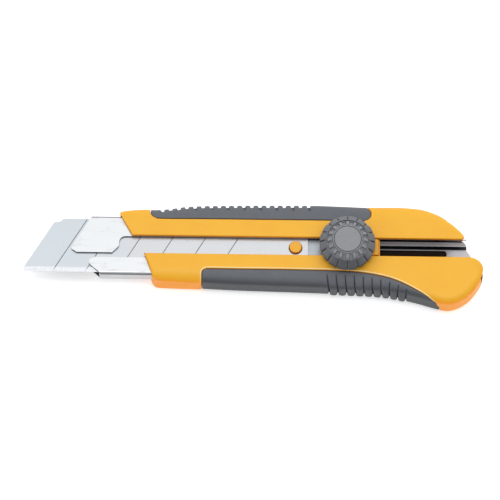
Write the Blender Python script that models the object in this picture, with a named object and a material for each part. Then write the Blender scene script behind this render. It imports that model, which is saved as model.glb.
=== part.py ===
"""Heavy-duty 25 mm snap-off utility knife with a screw wheel lock.

Frame: metres, +Z up. The knife lies on its flat back. X runs along the knife,
blade tip at -X and tail at +X. The spine is at +Y, the cutting edge at -Y,
and the slot and the lock wheel face +Z.

Working numbers below are in millimetres, in the blade's own frame: y = 0 on the
middle of the blade's width, z = 0 on the blade's upper face. MID_Y and FACE_Z
carry them to the object's frame, whose origin is the middle of the underside.
"""

import math

import bmesh
import bpy
from mathutils import Vector

MM = 0.001
GAP = 0.3  # clearance between neighbouring pieces

# ---- where the blade's frame sits in the object's frame
MID_Y = 2.68
FACE_Z = 10.5

# ---- blade: a standard 25 mm snap-off strip with seven segments
BLADE_TIP_X = -102.04
BLADE_LENGTH = 126.0
BLADE_HALF = 12.5
BLADE_THICK = 0.7
BLADE_BEVEL = 2.1
SCORE_ANGLE = math.radians(59)
SCORE_PITCH = 14.45
SCORE_FIRST_X = -89.3  # where the first score line meets the cutting edge
PIN_X = 18.5
PIN_R = 2.8

# ---- steel blade channel
SHEET = 0.8
CH_HALF = 13.6
CH_TOP = 1.1
CH_BACK = -6.6
CH_NOSE_X = -81.2
CH_REAR_X = 97.0
BEAD_Y = 5.4  # two stiffening beads run along the floor, either side of its slot
BEAD_HALF = 1.7
BEAD_HIGH = 1.4
FLOOR_SLOT_HALF = 1.6
FLOOR_SLOT_X0 = -38.0
FLOOR_SLOT_X1 = 86.0
UPPER_LIP_Y = 4.15
FLAP_Y = -3.6
LOWER_LIP_Y = -5.85

# ---- moulded handle
H_FRONT = 2.8
H_BACK = -10.5
BACK_ROUND = 3.0
CAVITY_HALF = 13.9
CAVITY_TOP = 1.35
CAVITY_BACK = -6.9
SLOT_HALF = 4.2

# ---- grips
GRIP_THICK_SIDE = 1.4
GRIP_THICK_FRONT = 0.6
GRIP_GAP = 0.25
TOP_NOTCHES = 19
TOP_NOTCH_X0 = -41.0
TOP_NOTCH_PITCH = 3.62
TOP_NOTCH_DEEP = 0.9
LOW_GROOVES = 10
LOW_GROOVE_X0 = 33.0
LOW_GROOVE_PITCH = 3.83
LOW_GROOVE_DEEP = 0.8

# ---- slider and wheel
WHEEL_X = 41.4
WHEEL_R = 12.35
WHEEL_LOW = 5.6
WHEEL_TOP = 12.7
WHEEL_FLUTES = 16
STUD_R = 3.0
NECK_HALF = 3.85
NECK_X0 = 33.3
NECK_X1 = 55.4
BOSS_HALF_X = 4.6
BOSS_HALF_Y = 3.4
RATCHET_TEETH = 24

# Handle outline in plan, clockwise from the slot's corner at the upper jaw.
# Each row: outer edge x, y; edge of the flat front face x, y; drop of the
# rounded shoulder between the two; and 1 where the outline has a corner.
OUTLINE = [
    (-54.3, 4.5, -53.5, 4.5, 0.8, 1),
    (-59.5, 14.0, -58.4, 12.0, 1.6, 0),
    (-59.0, 15.8, -57.3, 12.7, 2.2, 0),
    (-55.5, 16.7, -54.5, 13.0, 3.0, 0),
    (-49.5, 17.35, -49.0, 12.6, 3.4, 0),
    (-43.9, 17.4, -43.9, 12.1, 3.5, 0),
    (-37.3, 18.0, -37.3, 11.9, 3.5, 0),
    (-28.4, 19.3, -28.4, 11.9, 3.5, 0),
    (-10.6, 20.0, -10.6, 11.9, 3.5, 0),
    (7.2, 20.3, 7.2, 11.9, 3.5, 0),
    (25.0, 20.5, 25.0, 11.9, 3.5, 0),
    (38.3, 20.2, 38.3, 11.9, 3.5, 0),
    (51.6, 19.8, 51.6, 12.0, 3.5, 0),
    (64.9, 19.9, 64.4, 12.6, 3.5, 0),
    (73.8, 19.2, 72.4, 12.9, 3.5, 0),
    (78.3, 17.9, 76.2, 12.6, 3.3, 0),
    (82.7, 15.9, 80.2, 11.7, 3.0, 0),
    (87.2, 12.7, 84.8, 9.6, 2.6, 0),
    (91.4, 8.6, 89.6, 6.9, 2.0, 0),
    (93.3, 5.9, 92.2, 5.2, 1.2, 0),
    (92.6, 4.4, 91.9, 4.5, 0.8, 1),
    (94.4, 0.0, 93.7, 0.0, 0.8, 0),
    (96.3, -4.2, 95.6, -4.5, 0.8, 1),
    (99.0, -4.8, 97.2, -6.7, 1.6, 0),
    (101.2, -6.7, 98.8, -8.6, 2.2, 0),
    (102.04, -9.4, 99.4, -10.6, 2.6, 0),
    (100.9, -14.2, 97.9, -13.8, 2.8, 0),
    (96.9, -20.2, 94.2, -17.8, 3.0, 0),
    (93.1, -23.5, 91.0, -20.7, 3.0, 0),
    (88.0, -25.7, 87.0, -22.4, 3.0, 0),
    (82.7, -25.5, 82.9, -22.2, 3.0, 0),
    (73.8, -23.1, 74.6, -19.3, 3.2, 0),
    (64.9, -21.0, 66.2, -16.3, 3.4, 0),
    (56.0, -19.6, 57.0, -13.4, 3.5, 0),
    (42.7, -19.0, 43.4, -11.3, 3.5, 0),
    (20.5, -18.4, 20.5, -10.9, 3.5, 0),
    (-6.2, -17.8, -6.2, -10.9, 3.5, 0),
    (-24.0, -17.1, -24.0, -10.9, 3.5, 0),
    (-40.5, -16.4, -40.2, -10.9, 3.3, 0),
    (-44.3, -15.2, -43.5, -11.3, 2.0, 0),
    (-45.7, -12.2, -45.1, -10.2, 1.2, 0),
    (-48.6, -4.5, -48.0, -4.5, 0.8, 1),
    (-51.3, 0.0, -50.7, 0.0, 0.8, 0),
]


# ------------------------------------------------------------------ helpers
def clear_scene():
    for obj in list(bpy.data.objects):
        bpy.data.objects.remove(obj, do_unlink=True)


def make_material(name, colour, roughness, metallic):
    mat = bpy.data.materials.new(name)
    mat.use_nodes = True
    bsdf = mat.node_tree.nodes["Principled BSDF"]
    bsdf.inputs["Base Color"].default_value = (*colour, 1.0)
    bsdf.inputs["Roughness"].default_value = roughness
    bsdf.inputs["Metallic"].default_value = metallic
    return mat


def world(point):
    """Working millimetres to metres in the object's frame."""
    x, y, z = point
    return Vector((x * MM, (y + MID_Y) * MM, (z + FACE_Z) * MM))


def new_object(name, bm, mat=None, origin=(0.0, -MID_Y, -FACE_Z), smooth=True):
    """Object from a mesh in working millimetres; its origin is a working point."""
    place = world(origin)
    for v in bm.verts:
        v.co = world(v.co) - place
    bmesh.ops.recalc_face_normals(bm, faces=bm.faces)
    if bm.calc_volume(signed=True) < 0:
        bmesh.ops.reverse_faces(bm, faces=bm.faces)
    mesh = bpy.data.meshes.new(name)
    bm.to_mesh(mesh)
    bm.free()
    if mat is not None:
        mesh.materials.append(mat)
    if smooth:
        mesh.shade_smooth()
        mesh.set_sharp_from_angle(angle=math.radians(32))
    obj = bpy.data.objects.new(name, mesh)
    obj.location = place
    bpy.context.scene.collection.objects.link(obj)
    return obj


def loft(rings, loop=False):
    """Quads between rings of equal length; end caps unless the rings close up."""
    bm = bmesh.new()
    rows = [[bm.verts.new(p) for p in ring] for ring in rings]
    n = len(rows[0])
    pairs = list(zip(rows, rows[1:]))
    if loop:
        pairs.append((rows[-1], rows[0]))
    for a, b in pairs:
        for i in range(n):
            j = (i + 1) % n
            bm.faces.new((a[i], a[j], b[j], b[i]))
    if not loop:
        bm.faces.new(rows[0])
        bm.faces.new(rows[-1])
    return bm


def prism(points, z0, z1):
    """Plan outline raised from z0 to z1."""
    bm = bmesh.new()
    face = bm.faces.new([bm.verts.new((x, y, z0)) for x, y in points])
    grown = bmesh.ops.extrude_face_region(bm, geom=[face])
    top = [v for v in grown["geom"] if isinstance(v, bmesh.types.BMVert)]
    bmesh.ops.translate(bm, verts=top, vec=(0, 0, z1 - z0))
    return bm


def bar(points, x0, x1):
    """Cross-section in y and z drawn out along X."""
    bm = bmesh.new()
    face = bm.faces.new([bm.verts.new((x0, y, z)) for y, z in points])
    grown = bmesh.ops.extrude_face_region(bm, geom=[face])
    far = [v for v in grown["geom"] if isinstance(v, bmesh.types.BMVert)]
    bmesh.ops.translate(bm, verts=far, vec=(x1 - x0, 0, 0))
    return bm


def box(x0, x1, y0, y1, z0, z1):
    return prism([(x0, y0), (x1, y0), (x1, y1), (x0, y1)], z0, z1)


def rounded_rect(x0, x1, y0, y1, r, steps=3):
    points = []
    for cx, cy, start in (
        (x1 - r, y1 - r, 0),
        (x0 + r, y1 - r, 90),
        (x0 + r, y0 + r, 180),
        (x1 - r, y0 + r, 270),
    ):
        for i in range(steps + 1):
            a = math.radians(start + 90 * i / steps)
            points.append((cx + r * math.cos(a), cy + r * math.sin(a)))
    return points


def circle(cx, cy, r, n):
    return [
        (cx + r * math.cos(2 * math.pi * i / n), cy + r * math.sin(2 * math.pi * i / n))
        for i in range(n)
    ]


def turned(profile, cx, n, cy=0.0, bored=True, shape=None):
    """Profile of (radius, z) turned about a vertical axis. shape(r, z, angle) may change a radius."""
    rings = []
    for r, z in profile:
        ring = []
        for i in range(n):
            a = 2 * math.pi * i / n
            rr = shape(r, z, a) if shape else r
            ring.append((cx + rr * math.cos(a), cy + rr * math.sin(a), z))
        rings.append(ring)
    return loft(rings, loop=bored)


def boolean(obj, bm, name, operation="DIFFERENCE"):
    tool = new_object(name, bm, smooth=False)
    tool.hide_render = True
    tool.display_type = "WIRE"
    mod = obj.modifiers.new(name, "BOOLEAN")
    mod.operation = operation
    mod.object = tool
    mod.solver = "EXACT"
    return tool


# ------------------------------------------------------------------ handle surface
def spline(rows, closed, steps):
    """Catmull-Rom through the rows; the last value of a row marks a corner."""
    n = len(rows)
    out = []
    spans = n if closed else n - 1
    for i in range(spans):
        p1, p2 = rows[i], rows[(i + 1) % n]
        p0 = rows[i - 1] if (closed or i > 0) and not p1[-1] else p1
        p3 = rows[(i + 2) % n] if (closed or i + 2 < n) and not p2[-1] else p2
        for k in range(steps):
            t = k / steps
            out.append(
                tuple(
                    0.5
                    * (
                        2 * b
                        + (c - a) * t
                        + (2 * a - 5 * b + 4 * c - d) * t * t
                        + (3 * b - a - 3 * c + d) * t**3
                    )
                    for a, b, c, d in zip(p0[:-1], p1[:-1], p2[:-1], p3[:-1])
                )
            )
    return out


def inward(points):
    """Unit normals of the closed clockwise outline, pointing inside."""
    n = len(points)
    found = []
    for i in range(n):
        d = Vector(points[(i + 1) % n][:2]) - Vector(points[i - 1][:2])
        d.normalize()
        found.append(Vector((d.y, -d.x)))
    return found


def shell_rings(steps=2, front_steps=4, back_steps=3):
    points = spline(OUTLINE, True, steps)
    normals = inward(points)
    rings = []
    for k in range(front_steps, -1, -1):
        t = math.pi / 2 * k / front_steps
        c, s = math.cos(t), math.sin(t)
        rings.append(
            [
                (qx + (px - qx) * c, qy + (py - qy) * c, H_FRONT - drop * (1 - s))
                for px, py, qx, qy, drop in points
            ]
        )
    for k in range(back_steps + 1):
        t = math.pi / 2 * k / back_steps
        c, s = math.cos(t), math.sin(t)
        ring = []
        for (px, py, qx, qy, drop), nv in zip(points, normals):
            r = min(BACK_ROUND, 0.2 + drop * 0.8)
            ring.append(
                (
                    px + nv.x * r * (1 - c),
                    py + nv.y * r * (1 - c),
                    H_BACK + r * (1 - s),
                )
            )
        rings.append(ring)
    return rings


def side_at(x, top):
    """Outer edge y, face edge x and y, and shoulder drop on one long side of the handle at x."""
    rows = [
        r
        for r in spline(OUTLINE, True, 6)
        if (r[1] > 0) == top and (-46.5 < r[0] < 84) and (r[1] > 14 if top else r[1] < -15)
    ]
    rows.sort()
    for a, b in zip(rows, rows[1:]):
        if a[0] <= x <= b[0]:
            t = (x - a[0]) / max(b[0] - a[0], 1e-9)
            return tuple(p + (q - p) * t for p, q in zip(a[1:], b[1:]))
    return (rows[0] if x < rows[0][0] else rows[-1])[1:]


def grip_section(x, top, t_front, thick_side, thick_front, raise_by, cut_by=0.0):
    """Outer and inner points of one grip cross-section, from its front edge round the side to its back edge."""
    py, qx, qy, drop = side_at(x, top)
    sign = 1 if top else -1
    a = abs(py - qy)
    outer, normal, thick = [], [], []
    steps = 4
    for k in range(steps, -1, -1):
        t = t_front * k / steps
        outer.append((a * (math.cos(t) - 1), H_FRONT - drop * (1 - math.sin(t))))
        nv = Vector((math.cos(t) * drop, math.sin(t) * a))
        normal.append(nv.normalized())
        share = math.sin(t) ** 2
        thick.append(thick_side + (thick_front - thick_side) * share)
    for k in range(0, 4):
        t = math.radians(78) * k / 3
        outer.append(
            (BACK_ROUND * (math.cos(t) - 1), H_BACK + BACK_ROUND * (1 - math.sin(t)))
        )
        normal.append(Vector((math.cos(t), -math.sin(t))))
        thick.append(thick_side)
    out, inn = [], []
    for (dy, z), nv, th in zip(outer, normal, thick):
        lift = raise_by - cut_by
        out.append((x, sign * (abs(py) + dy + nv.x * lift), z + nv.y * lift))
        inn.append((x, sign * (abs(py) + dy - nv.x * th), z - nv.y * th))
    return out, inn


def grip_body(stations, top, front_edge, ends, grow=0.0, notch=None):
    """Closed strip wrapped round one side of the handle. grow turns it into the cutter of its own seat."""
    rings = []
    for x in stations:
        t = front_edge(x)
        deep = notch(x) if notch else 0.0
        out, inn = grip_section(
            x,
            top,
            t,
            GRIP_THICK_SIDE + grow,
            GRIP_THICK_FRONT + grow,
            1.0 if grow else 0.0,
            0.0,
        )
        if deep:
            cut_out, _ = grip_section(x, top, t, 1, 1, 0.0, deep)
            out = [
                o if k < 2 else c
                for k, (o, c) in enumerate(zip(out, cut_out))
            ]
        if grow:
            # widen the cutter past both edges of the strip
            for row in (out, inn):
                for idx, other in ((0, 1), (-1, -2)):
                    d = Vector(row[idx]) - Vector(row[other])
                    d.normalize()
                    row[idx] = tuple(Vector(row[idx]) + d * grow)
        rings.append(out + inn[::-1])
    return loft(rings)


def step_points(x0, x1, centres, half_floor, half_top, spare):
    """Stations along a grip: both edges of each notch, and even steps between."""
    xs = [x0, x1] + list(spare)
    for c in centres:
        xs += [c - half_top, c - half_floor, c + half_floor, c + half_top]
    return sorted(set(round(x, 4) for x in xs if x0 <= x <= x1))


def ramp(x, pairs):
    if x <= pairs[0][0]:
        return pairs[0][1]
    for (xa, va), (xb, vb) in zip(pairs, pairs[1:]):
        if x <= xb:
            return va + (vb - va) * (x - xa) / (xb - xa)
    return pairs[-1][1]


# ------------------------------------------------------------------ build
def build_handle(mats):
    shell = new_object("handle_shell", loft(shell_rings()), mats["yellow"])
    top_x0, top_x1 = -45.6, 51.9
    top_centres = [TOP_NOTCH_X0 + TOP_NOTCH_PITCH * i for i in range(TOP_NOTCHES)]
    top_edge = [
        (top_x0, 0.55),
        (-44.8, 0.85),
        (-43.1, 1.25),
        (-41.9, 1.5),
        (49.6, 1.5),
        (51.3, 1.2),
        (top_x1, 0.85),
    ]

    def top_front(x):
        return ramp(x, top_edge)

    def top_notch(x):
        near = min(abs(x - c) for c in top_centres)
        return TOP_NOTCH_DEEP if near < 0.6 else 0.0

    xs = step_points(
        top_x0,
        top_x1,
        top_centres,
        0.5,
        0.85,
        [-44.8, -43.1, 28.5, 34.0, 40.0, 45.0, 49.6, 51.3],
    )
    top = new_object(
        "top_grip",
        grip_body(xs, True, top_front, None, notch=top_notch),
        mats["rubber"],
        smooth=False,
    )
    seat = sorted({top_x0 - GRIP_GAP, top_x1 + GRIP_GAP, -44.8, -43.1, -41.9, -37.3, -28.4, -19, -10.6, -1, 7.2, 16, 25.0, 32, 38.3, 45, 49.6, 51.3})
    boolean(
        shell,
        grip_body(seat, True, lambda x: min(top_front(x) + 0.03, 1.55), None, grow=GRIP_GAP),
        "cut_top_seat",
    )

    low_x0, low_x1 = -22.9, 82.0
    low_centres = [LOW_GROOVE_X0 + LOW_GROOVE_PITCH * i for i in range(LOW_GROOVES)]
    low_edge = [(low_x0, 1.25), (-21.0, 1.5), (65.0, 1.5), (74.0, 1.0), (78.5, 0.62), (low_x1, 0.2)]

    def low_front(x):
        return ramp(x, low_edge)

    def low_notch(x):
        near = min(abs(x - c) for c in low_centres)
        return LOW_GROOVE_DEEP if near < 0.35 else 0.0

    xs = step_points(
        low_x0,
        low_x1,
        low_centres,
        0.25,
        0.95,
        [-21.0, -12, -3, 6, 14, 22, 28, 71.5, 74.0, 76.5, 78.5, 80.5],
    )
    low = new_object(
        "bottom_grip",
        grip_body(xs, False, low_front, None, notch=low_notch),
        mats["rubber"],
        smooth=False,
    )
    seat = sorted({low_x0 - GRIP_GAP, low_x1 + GRIP_GAP, -21.0, -12, -3, 6, 14, 22, 28, 34, 40, 46, 52, 58, 65, 70, 74.0, 76.5, 78.5, 80.5})
    boolean(
        shell,
        grip_body(seat, False, lambda x: min(low_front(x) + 0.03, 1.55), None, grow=GRIP_GAP),
        "cut_bottom_seat",
    )
    boolean(
        shell,
        box(-75, 115, -CAVITY_HALF, CAVITY_HALF, CAVITY_BACK, CAVITY_TOP),
        "cut_cavity",
    )
    boolean(shell, box(-76, 116, -SLOT_HALF, SLOT_HALF, 0.0, 6.0), "cut_slot")
    return shell, top, low


def build_channel(mats):
    h, i = CH_HALF, CH_HALF - SHEET
    r = 1.0
    low, floor = CH_BACK, CH_BACK + SHEET

    def bead(side, base, lift):
        """Half-round stiffening bead, from the middle of the floor outwards."""
        shape = ((-BEAD_HALF, 0.0), (-0.6 * BEAD_HALF, 0.6), (0.0, 1.0), (0.6 * BEAD_HALF, 0.6), (BEAD_HALF, 0.0))
        return [(side * (BEAD_Y + dy), base + BEAD_HIGH * up * lift) for dy, up in shape]

    section = [
        (FLAP_Y, CH_TOP),
        (h - r, CH_TOP),
        (h - 0.3 * r, CH_TOP - 0.3 * r),
        (h, CH_TOP - r),
        (h, low + r),
        (h - 0.3 * r, low + 0.3 * r),
        (h - r, low),
        *bead(1, low, 0.85)[::-1],
        *bead(-1, low, 0.85),
        (-h + r, low),
        (-h + 0.3 * r, low + 0.3 * r),
        (-h, low + r),
        (-h, CH_TOP - r),
        (-h + 0.3 * r, CH_TOP - 0.3 * r),
        (-h + r, CH_TOP),
        (LOWER_LIP_Y, CH_TOP),
        (LOWER_LIP_Y, CH_TOP - SHEET),
        (-i, CH_TOP - SHEET),
        (-i, floor),
        *bead(-1, floor, 1.0)[::-1],
        *bead(1, floor, 1.0),
        (i, floor),
        (i, CH_TOP - SHEET),
        (FLAP_Y, CH_TOP - SHEET),
    ]
    channel = new_object(
        "blade_channel", bar(section, CH_NOSE_X, CH_REAR_X), mats["steel"], smooth=False
    )
    # behind the nose flap the upper lip steps back to the slot's edge
    boolean(
        channel,
        prism(
            [
                (-57.2, UPPER_LIP_Y),
                (120, UPPER_LIP_Y),
                (120, -5.0),
                (-64.4, -5.0),
                (-62.8, -3.4),
                (-60.3, -0.9),
                (-59.95, 0.0),
                (-59.8, 1.6),
                (-59.2, 2.9),
                (-58.3, 3.8),
            ],
            -0.4,
            2.0,
        ),
        "cut_lip_step",
    )
    # nose flap: front edge parallel to the score lines, with a clipped lower corner
    boolean(
        channel,
        prism(
            [
                (-95, 20),
                (-72.3, 20),
                (-72.3, 13.4),
                (-73.4, 11.6),
                (-81.0, -1.0),
                (-80.8, -2.3),
                (-79.0, -3.4),
                (-78.0, -4.8),
                (-95, -4.8),
            ],
            -0.4,
            2.0,
        ),
        "cut_flap_front",
    )
    # lower lip: clipped corner and a long chamfer to the side wall
    boolean(
        channel,
        prism(
            [
                (-95, -4.8),
                (-70.6, -4.8),
                (-70.6, -5.9),
                (-73.0, -6.9),
                (-73.1, -9.0),
                (-67.2, -14.0),
                (-67.2, -20),
                (-95, -20),
            ],
            -10.0,
            2.0,
        ),
        "cut_lower_nose",
    )
    # the floor and the upper side wall start further back than the flap
    boolean(channel, box(-95, -72.3, -6.0, 20.0, -10.0, -0.1), "cut_floor_nose")
    # long slot along the middle of the floor
    boolean(
        channel,
        prism(
            rounded_rect(FLOOR_SLOT_X0, FLOOR_SLOT_X1, -FLOOR_SLOT_HALF, FLOOR_SLOT_HALF, 1.59),
            -9,
            -4,
        ),
        "cut_floor_slot",
    )
    # rear end, trimmed to follow the handle's outline
    boolean(
        channel,
        prism(
            [(83.5, 20), (83.5, 14.5), (88.2, 10.4), (92.0, 6.2), (93.6, 5.2), (94.5, 4.4), (94.8, 3.6), (94.8, 1.8), (96.1, 0.2), (96.8, -1.2), (96.8, -20), (120, -20), (120, 20)],
            -10,
            3,
        ),
        "cut_rear",
    )
    return channel


def build_blade(mats):
    tail_x = BLADE_TIP_X + BLADE_LENGTH
    half, t, bev = BLADE_HALF, BLADE_THICK, BLADE_BEVEL
    section = [
        (half, 0.0),
        (-half + bev, 0.0),
        (-half, -t / 2 + 0.04),
        (-half, -t / 2 - 0.04),
        (-half + bev, -t),
        (half, -t),
    ]
    origin = (PIN_X, 0.0, 0.0)
    blade = new_object(
        "blade", bar(section, BLADE_TIP_X - 2, tail_x), mats["blade"], origin, smooth=False
    )
    slope = 1 / math.tan(SCORE_ANGLE)
    top_y = 10.75
    top_x = BLADE_TIP_X + 12.94
    boolean(
        blade,
        prism(
            [
                (BLADE_TIP_X, -half - 2),
                (BLADE_TIP_X, -half),
                (BLADE_TIP_X + 0.14, -half + bev),
                (top_x, top_y),
                (top_x + 2.7, top_y + 0.45),
                (top_x + 4.3, half + 0.01),
                (top_x + 4.3, half + 5),
                (BLADE_TIP_X - 10, half + 5),
                (BLADE_TIP_X - 10, -half - 2),
            ],
            -3,
            3,
        ),
        "cut_tip",
    )
    boolean(blade, prism(circle(PIN_X, 0, PIN_R + GAP, 24), -3, 3), "cut_blade_hole")
    grooves = bmesh.new()
    for k in range(6):
        x0 = SCORE_FIRST_X + SCORE_PITCH * k
        ends = []
        for y in (-half - 0.6, half + 0.6):
            x = x0 + (y + half) * slope
            ends.append([(x - 0.18, y, 0.05), (x + 0.18, y, 0.05), (x, y, -0.2)])
        part = loft(ends)
        mesh = bpy.data.meshes.new("groove")
        part.to_mesh(mesh)
        part.free()
        grooves.from_mesh(mesh)
        bpy.data.meshes.remove(mesh)
    boolean(blade, grooves, "cut_scores")
    return blade


def build_slider(mats):
    origin = (PIN_X, 0.0, 0.0)
    low = CH_BACK + SHEET + GAP
    over = low + BEAD_HIGH
    inner, outer = BEAD_Y - BEAD_HALF - 0.2, BEAD_Y + BEAD_HALF + 0.2
    right = [
        (inner, low),
        (inner + 0.3, over),
        (outer - 0.3, over),
        (outer, low),
        (12.3, low),
        (12.3, 0.0),
    ]
    section = right + [(-y, z) for y, z in right[::-1]]
    carriage = new_object(
        "slider_carriage", bar(section, 6.0, 56.0), mats["yellow"], origin
    )
    boolean(carriage, box(0, NECK_X0, -20, 20, -2.1, 3), "cut_tongue")
    boolean(
        carriage,
        prism(rounded_rect(NECK_X0 + 0.1, NECK_X1, -NECK_HALF, NECK_HALF, 0.8), -1.2, 2.6),
        "add_neck",
        "UNION",
    )
    boolean(
        carriage,
        box(WHEEL_X - BOSS_HALF_X, WHEEL_X + BOSS_HALF_X, -BOSS_HALF_Y, BOSS_HALF_Y, -0.8, 4.4),
        "add_boss",
        "UNION",
    )
    boolean(carriage, prism(circle(WHEEL_X, 0, STUD_R + GAP, 24), -12, 12), "cut_stud_bore")
    boolean(carriage, prism(circle(WHEEL_X, 0, 5.7, 24), -12, -1.4), "cut_head_pocket")
    boolean(carriage, prism(circle(PIN_X, 0, PIN_R + GAP, 24), -3.6, 2), "cut_pin_seat")

    plate = new_object(
        "slider_plate",
        prism(rounded_rect(6.3, NECK_X0 - GAP, -12.2, 12.2, 1.2), -1.8, -1.0),
        mats["steel"],
        origin,
        smooth=False,
    )
    boolean(plate, prism(circle(PIN_X, 0, PIN_R + GAP, 24), -5, 5), "cut_plate_hole")

    pin = new_object(
        "blade_pin",
        turned(
            [(PIN_R - 0.3, -3.3), (PIN_R, -3.0), (PIN_R, 1.1), (PIN_R - 0.45, 1.5)],
            PIN_X,
            24,
            bored=False,
        ),
        mats["yellow"],
        origin,
    )

    def hexagon(r, z, a):
        if z > -1.6:
            return r
        return r / math.cos((a % (math.pi / 3)) - math.pi / 6)

    stud = new_object(
        "clamp_stud",
        turned(
            [
                (4.5, -3.8),
                (4.5, -1.7),
                (STUD_R, -1.55),
                (STUD_R, 10.1),
                (2.5, 10.1),
                (2.5, 10.8),
                (STUD_R - 0.2, 10.8),
                (STUD_R - 0.5, 11.1),
            ],
            WHEEL_X,
            24,
            bored=False,
            shape=hexagon,
        ),
        mats["bolt_steel"],
        (WHEEL_X, 0, 0),
        smooth=False,
    )

    clip_in, clip_out = [], []
    for i in range(21):
        a = math.radians(30 + 300 * i / 20)
        clip_in.append((WHEEL_X + 2.8 * math.cos(a), 2.8 * math.sin(a)))
        clip_out.append((WHEEL_X + 4.6 * math.cos(a), 4.6 * math.sin(a)))
    clip = new_object(
        "stud_clip",
        prism(clip_out + clip_in[::-1], 10.2, 10.7),
        mats["bolt_steel"],
        (WHEEL_X, 0, 0),
        smooth=False,
    )
    return carriage, plate, pin, stud, clip


def build_wheel(mats):
    origin = (WHEEL_X, 0.0, H_FRONT)
    washer = new_object(
        "lock_washer",
        turned([(9.2, 3.1), (9.5, 3.4), (9.5, 4.4), (9.2, 4.7)], WHEEL_X, 40, bored=False),
        mats["bolt_steel"],
        origin,
    )
    boolean(
        washer,
        box(
            WHEEL_X - BOSS_HALF_X - GAP,
            WHEEL_X + BOSS_HALF_X + GAP,
            -BOSS_HALF_Y - GAP,
            BOSS_HALF_Y + GAP,
            0,
            8,
        ),
        "cut_washer_key",
    )

    def wave(n, r0, r1, z0, thick, high, waves):
        inner_low, outer_low, outer_up, inner_up = [], [], [], []
        for i in range(n):
            a = 2 * math.pi * i / n
            z = z0 + high * 0.5 * (1 + math.cos(waves * a))
            c, s = math.cos(a), math.sin(a)
            inner_low.append((WHEEL_X + r0 * c, r0 * s, z))
            outer_low.append((WHEEL_X + r1 * c, r1 * s, z))
            outer_up.append((WHEEL_X + r1 * c, r1 * s, z + thick))
            inner_up.append((WHEEL_X + r0 * c, r0 * s, z + thick))
        return loft([inner_low, outer_low, outer_up, inner_up], loop=True)

    spring = new_object(
        "click_spring", wave(36, 6.6, 9.0, 5.0, 0.3, 0.45, 3), mats["bolt_steel"], origin
    )

    rings = [[], [], [], []]
    for i in range(RATCHET_TEETH * 2):
        a = math.pi * i / RATCHET_TEETH
        c, s = math.cos(a), math.sin(a)
        z = 6.1 if i % 2 == 0 else 6.5
        for ring, r, zz in zip(rings, (6.4, 9.25, 9.25, 6.4), (z, z, 6.95, 6.95)):
            ring.append((WHEEL_X + r * c, r * s, zz))
    ratchet = new_object(
        "ratchet_ring", loft(rings, loop=True), mats["bolt_steel"], origin, smooth=False
    )

    hub = new_object(
        "wheel_hub",
        turned(
            [
                (9.6, 5.7),
                (10.3, 5.7),
                (10.3, 8.9),
                (9.0, 10.6),
                (6.9, 11.9),
                (6.75, 11.3),
                (5.2, 11.3),
                (5.2, 9.2),
                (5.9, 9.2),
                (5.9, 7.2),
                (9.6, 7.2),
            ],
            WHEEL_X,
            40,
        ),
        mats["wheel_grey"],
        origin,
    )

    def flutes(r, z, a):
        if r < 11.3:
            return r
        turn = (a / (2 * math.pi) * WHEEL_FLUTES) % 1.0
        return r - 0.45 if turn < 0.05 or turn > 0.95 else r

    grip = new_object(
        "wheel_grip",
        turned(
            [
                (10.6, WHEEL_LOW),
                (12.1, WHEEL_LOW),
                (WHEEL_R, 5.9),
                (WHEEL_R, 8.3),
                (11.7, 9.2),
                (9.5, 10.95),
                (9.3, 10.7),
                (10.6, 9.05),
            ],
            WHEEL_X,
            WHEEL_FLUTES * 5,
            shape=flutes,
        ),
        mats["rubber"],
        origin,
        smooth=False,
    )

    cap = new_object(
        "wheel_cap",
        turned(
            [
                (6.2, 11.6),
                (6.4, 11.8),
                (6.4, 12.35),
                (6.1, 12.6),
                (5.75, 12.3),
                (5.45, 12.6),
                (4.0, WHEEL_TOP),
            ],
            WHEEL_X,
            40,
            bored=False,
        ),
        mats["wheel_grey"],
        origin,
    )

    def nut_hex(r, z, a):
        if r < 4:
            return r
        return r / math.cos((a % (math.pi / 3)) - math.pi / 6)

    nut = new_object(
        "wheel_nut",
        turned(
            [(STUD_R + GAP, 7.3), (4.8, 7.3), (4.8, 8.9), (STUD_R + GAP, 8.9)],
            WHEEL_X,
            24,
            shape=nut_hex,
        ),
        mats["brass"],
        origin,
        smooth=False,
    )
    return washer, spring, ratchet, hub, grip, cap, nut


def main():
    clear_scene()
    mats = {
        "yellow": make_material("moulded_yellow", (0.93, 0.50, 0.055), 0.42, 0.0),
        "rubber": make_material("grip_rubber", (0.115, 0.125, 0.145), 0.72, 0.0),
        "wheel_grey": make_material("wheel_plastic", (0.23, 0.235, 0.25), 0.5, 0.0),
        "steel": make_material("channel_steel", (0.70, 0.71, 0.70), 0.25, 1.0),
        "blade": make_material("blade_steel", (0.66, 0.69, 0.73), 0.22, 1.0),
        "bolt_steel": make_material("zinc_steel", (0.56, 0.57, 0.58), 0.35, 1.0),
        "brass": make_material("nut_brass", (0.72, 0.53, 0.22), 0.35, 1.0),
    }
    build_handle(mats)
    build_channel(mats)
    build_blade(mats)
    build_slider(mats)
    build_wheel(mats)


main()
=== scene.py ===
"""Looks of a heavy-duty 25 mm snap-off knife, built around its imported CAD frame.

Working numbers are millimetres in the blade's own frame: y = 0 on the middle of
the blade's width, z = 0 on its upper face. The blade's box places that frame.
"""

import math

import bmesh
import bpy
from mathutils import Matrix, Vector

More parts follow.
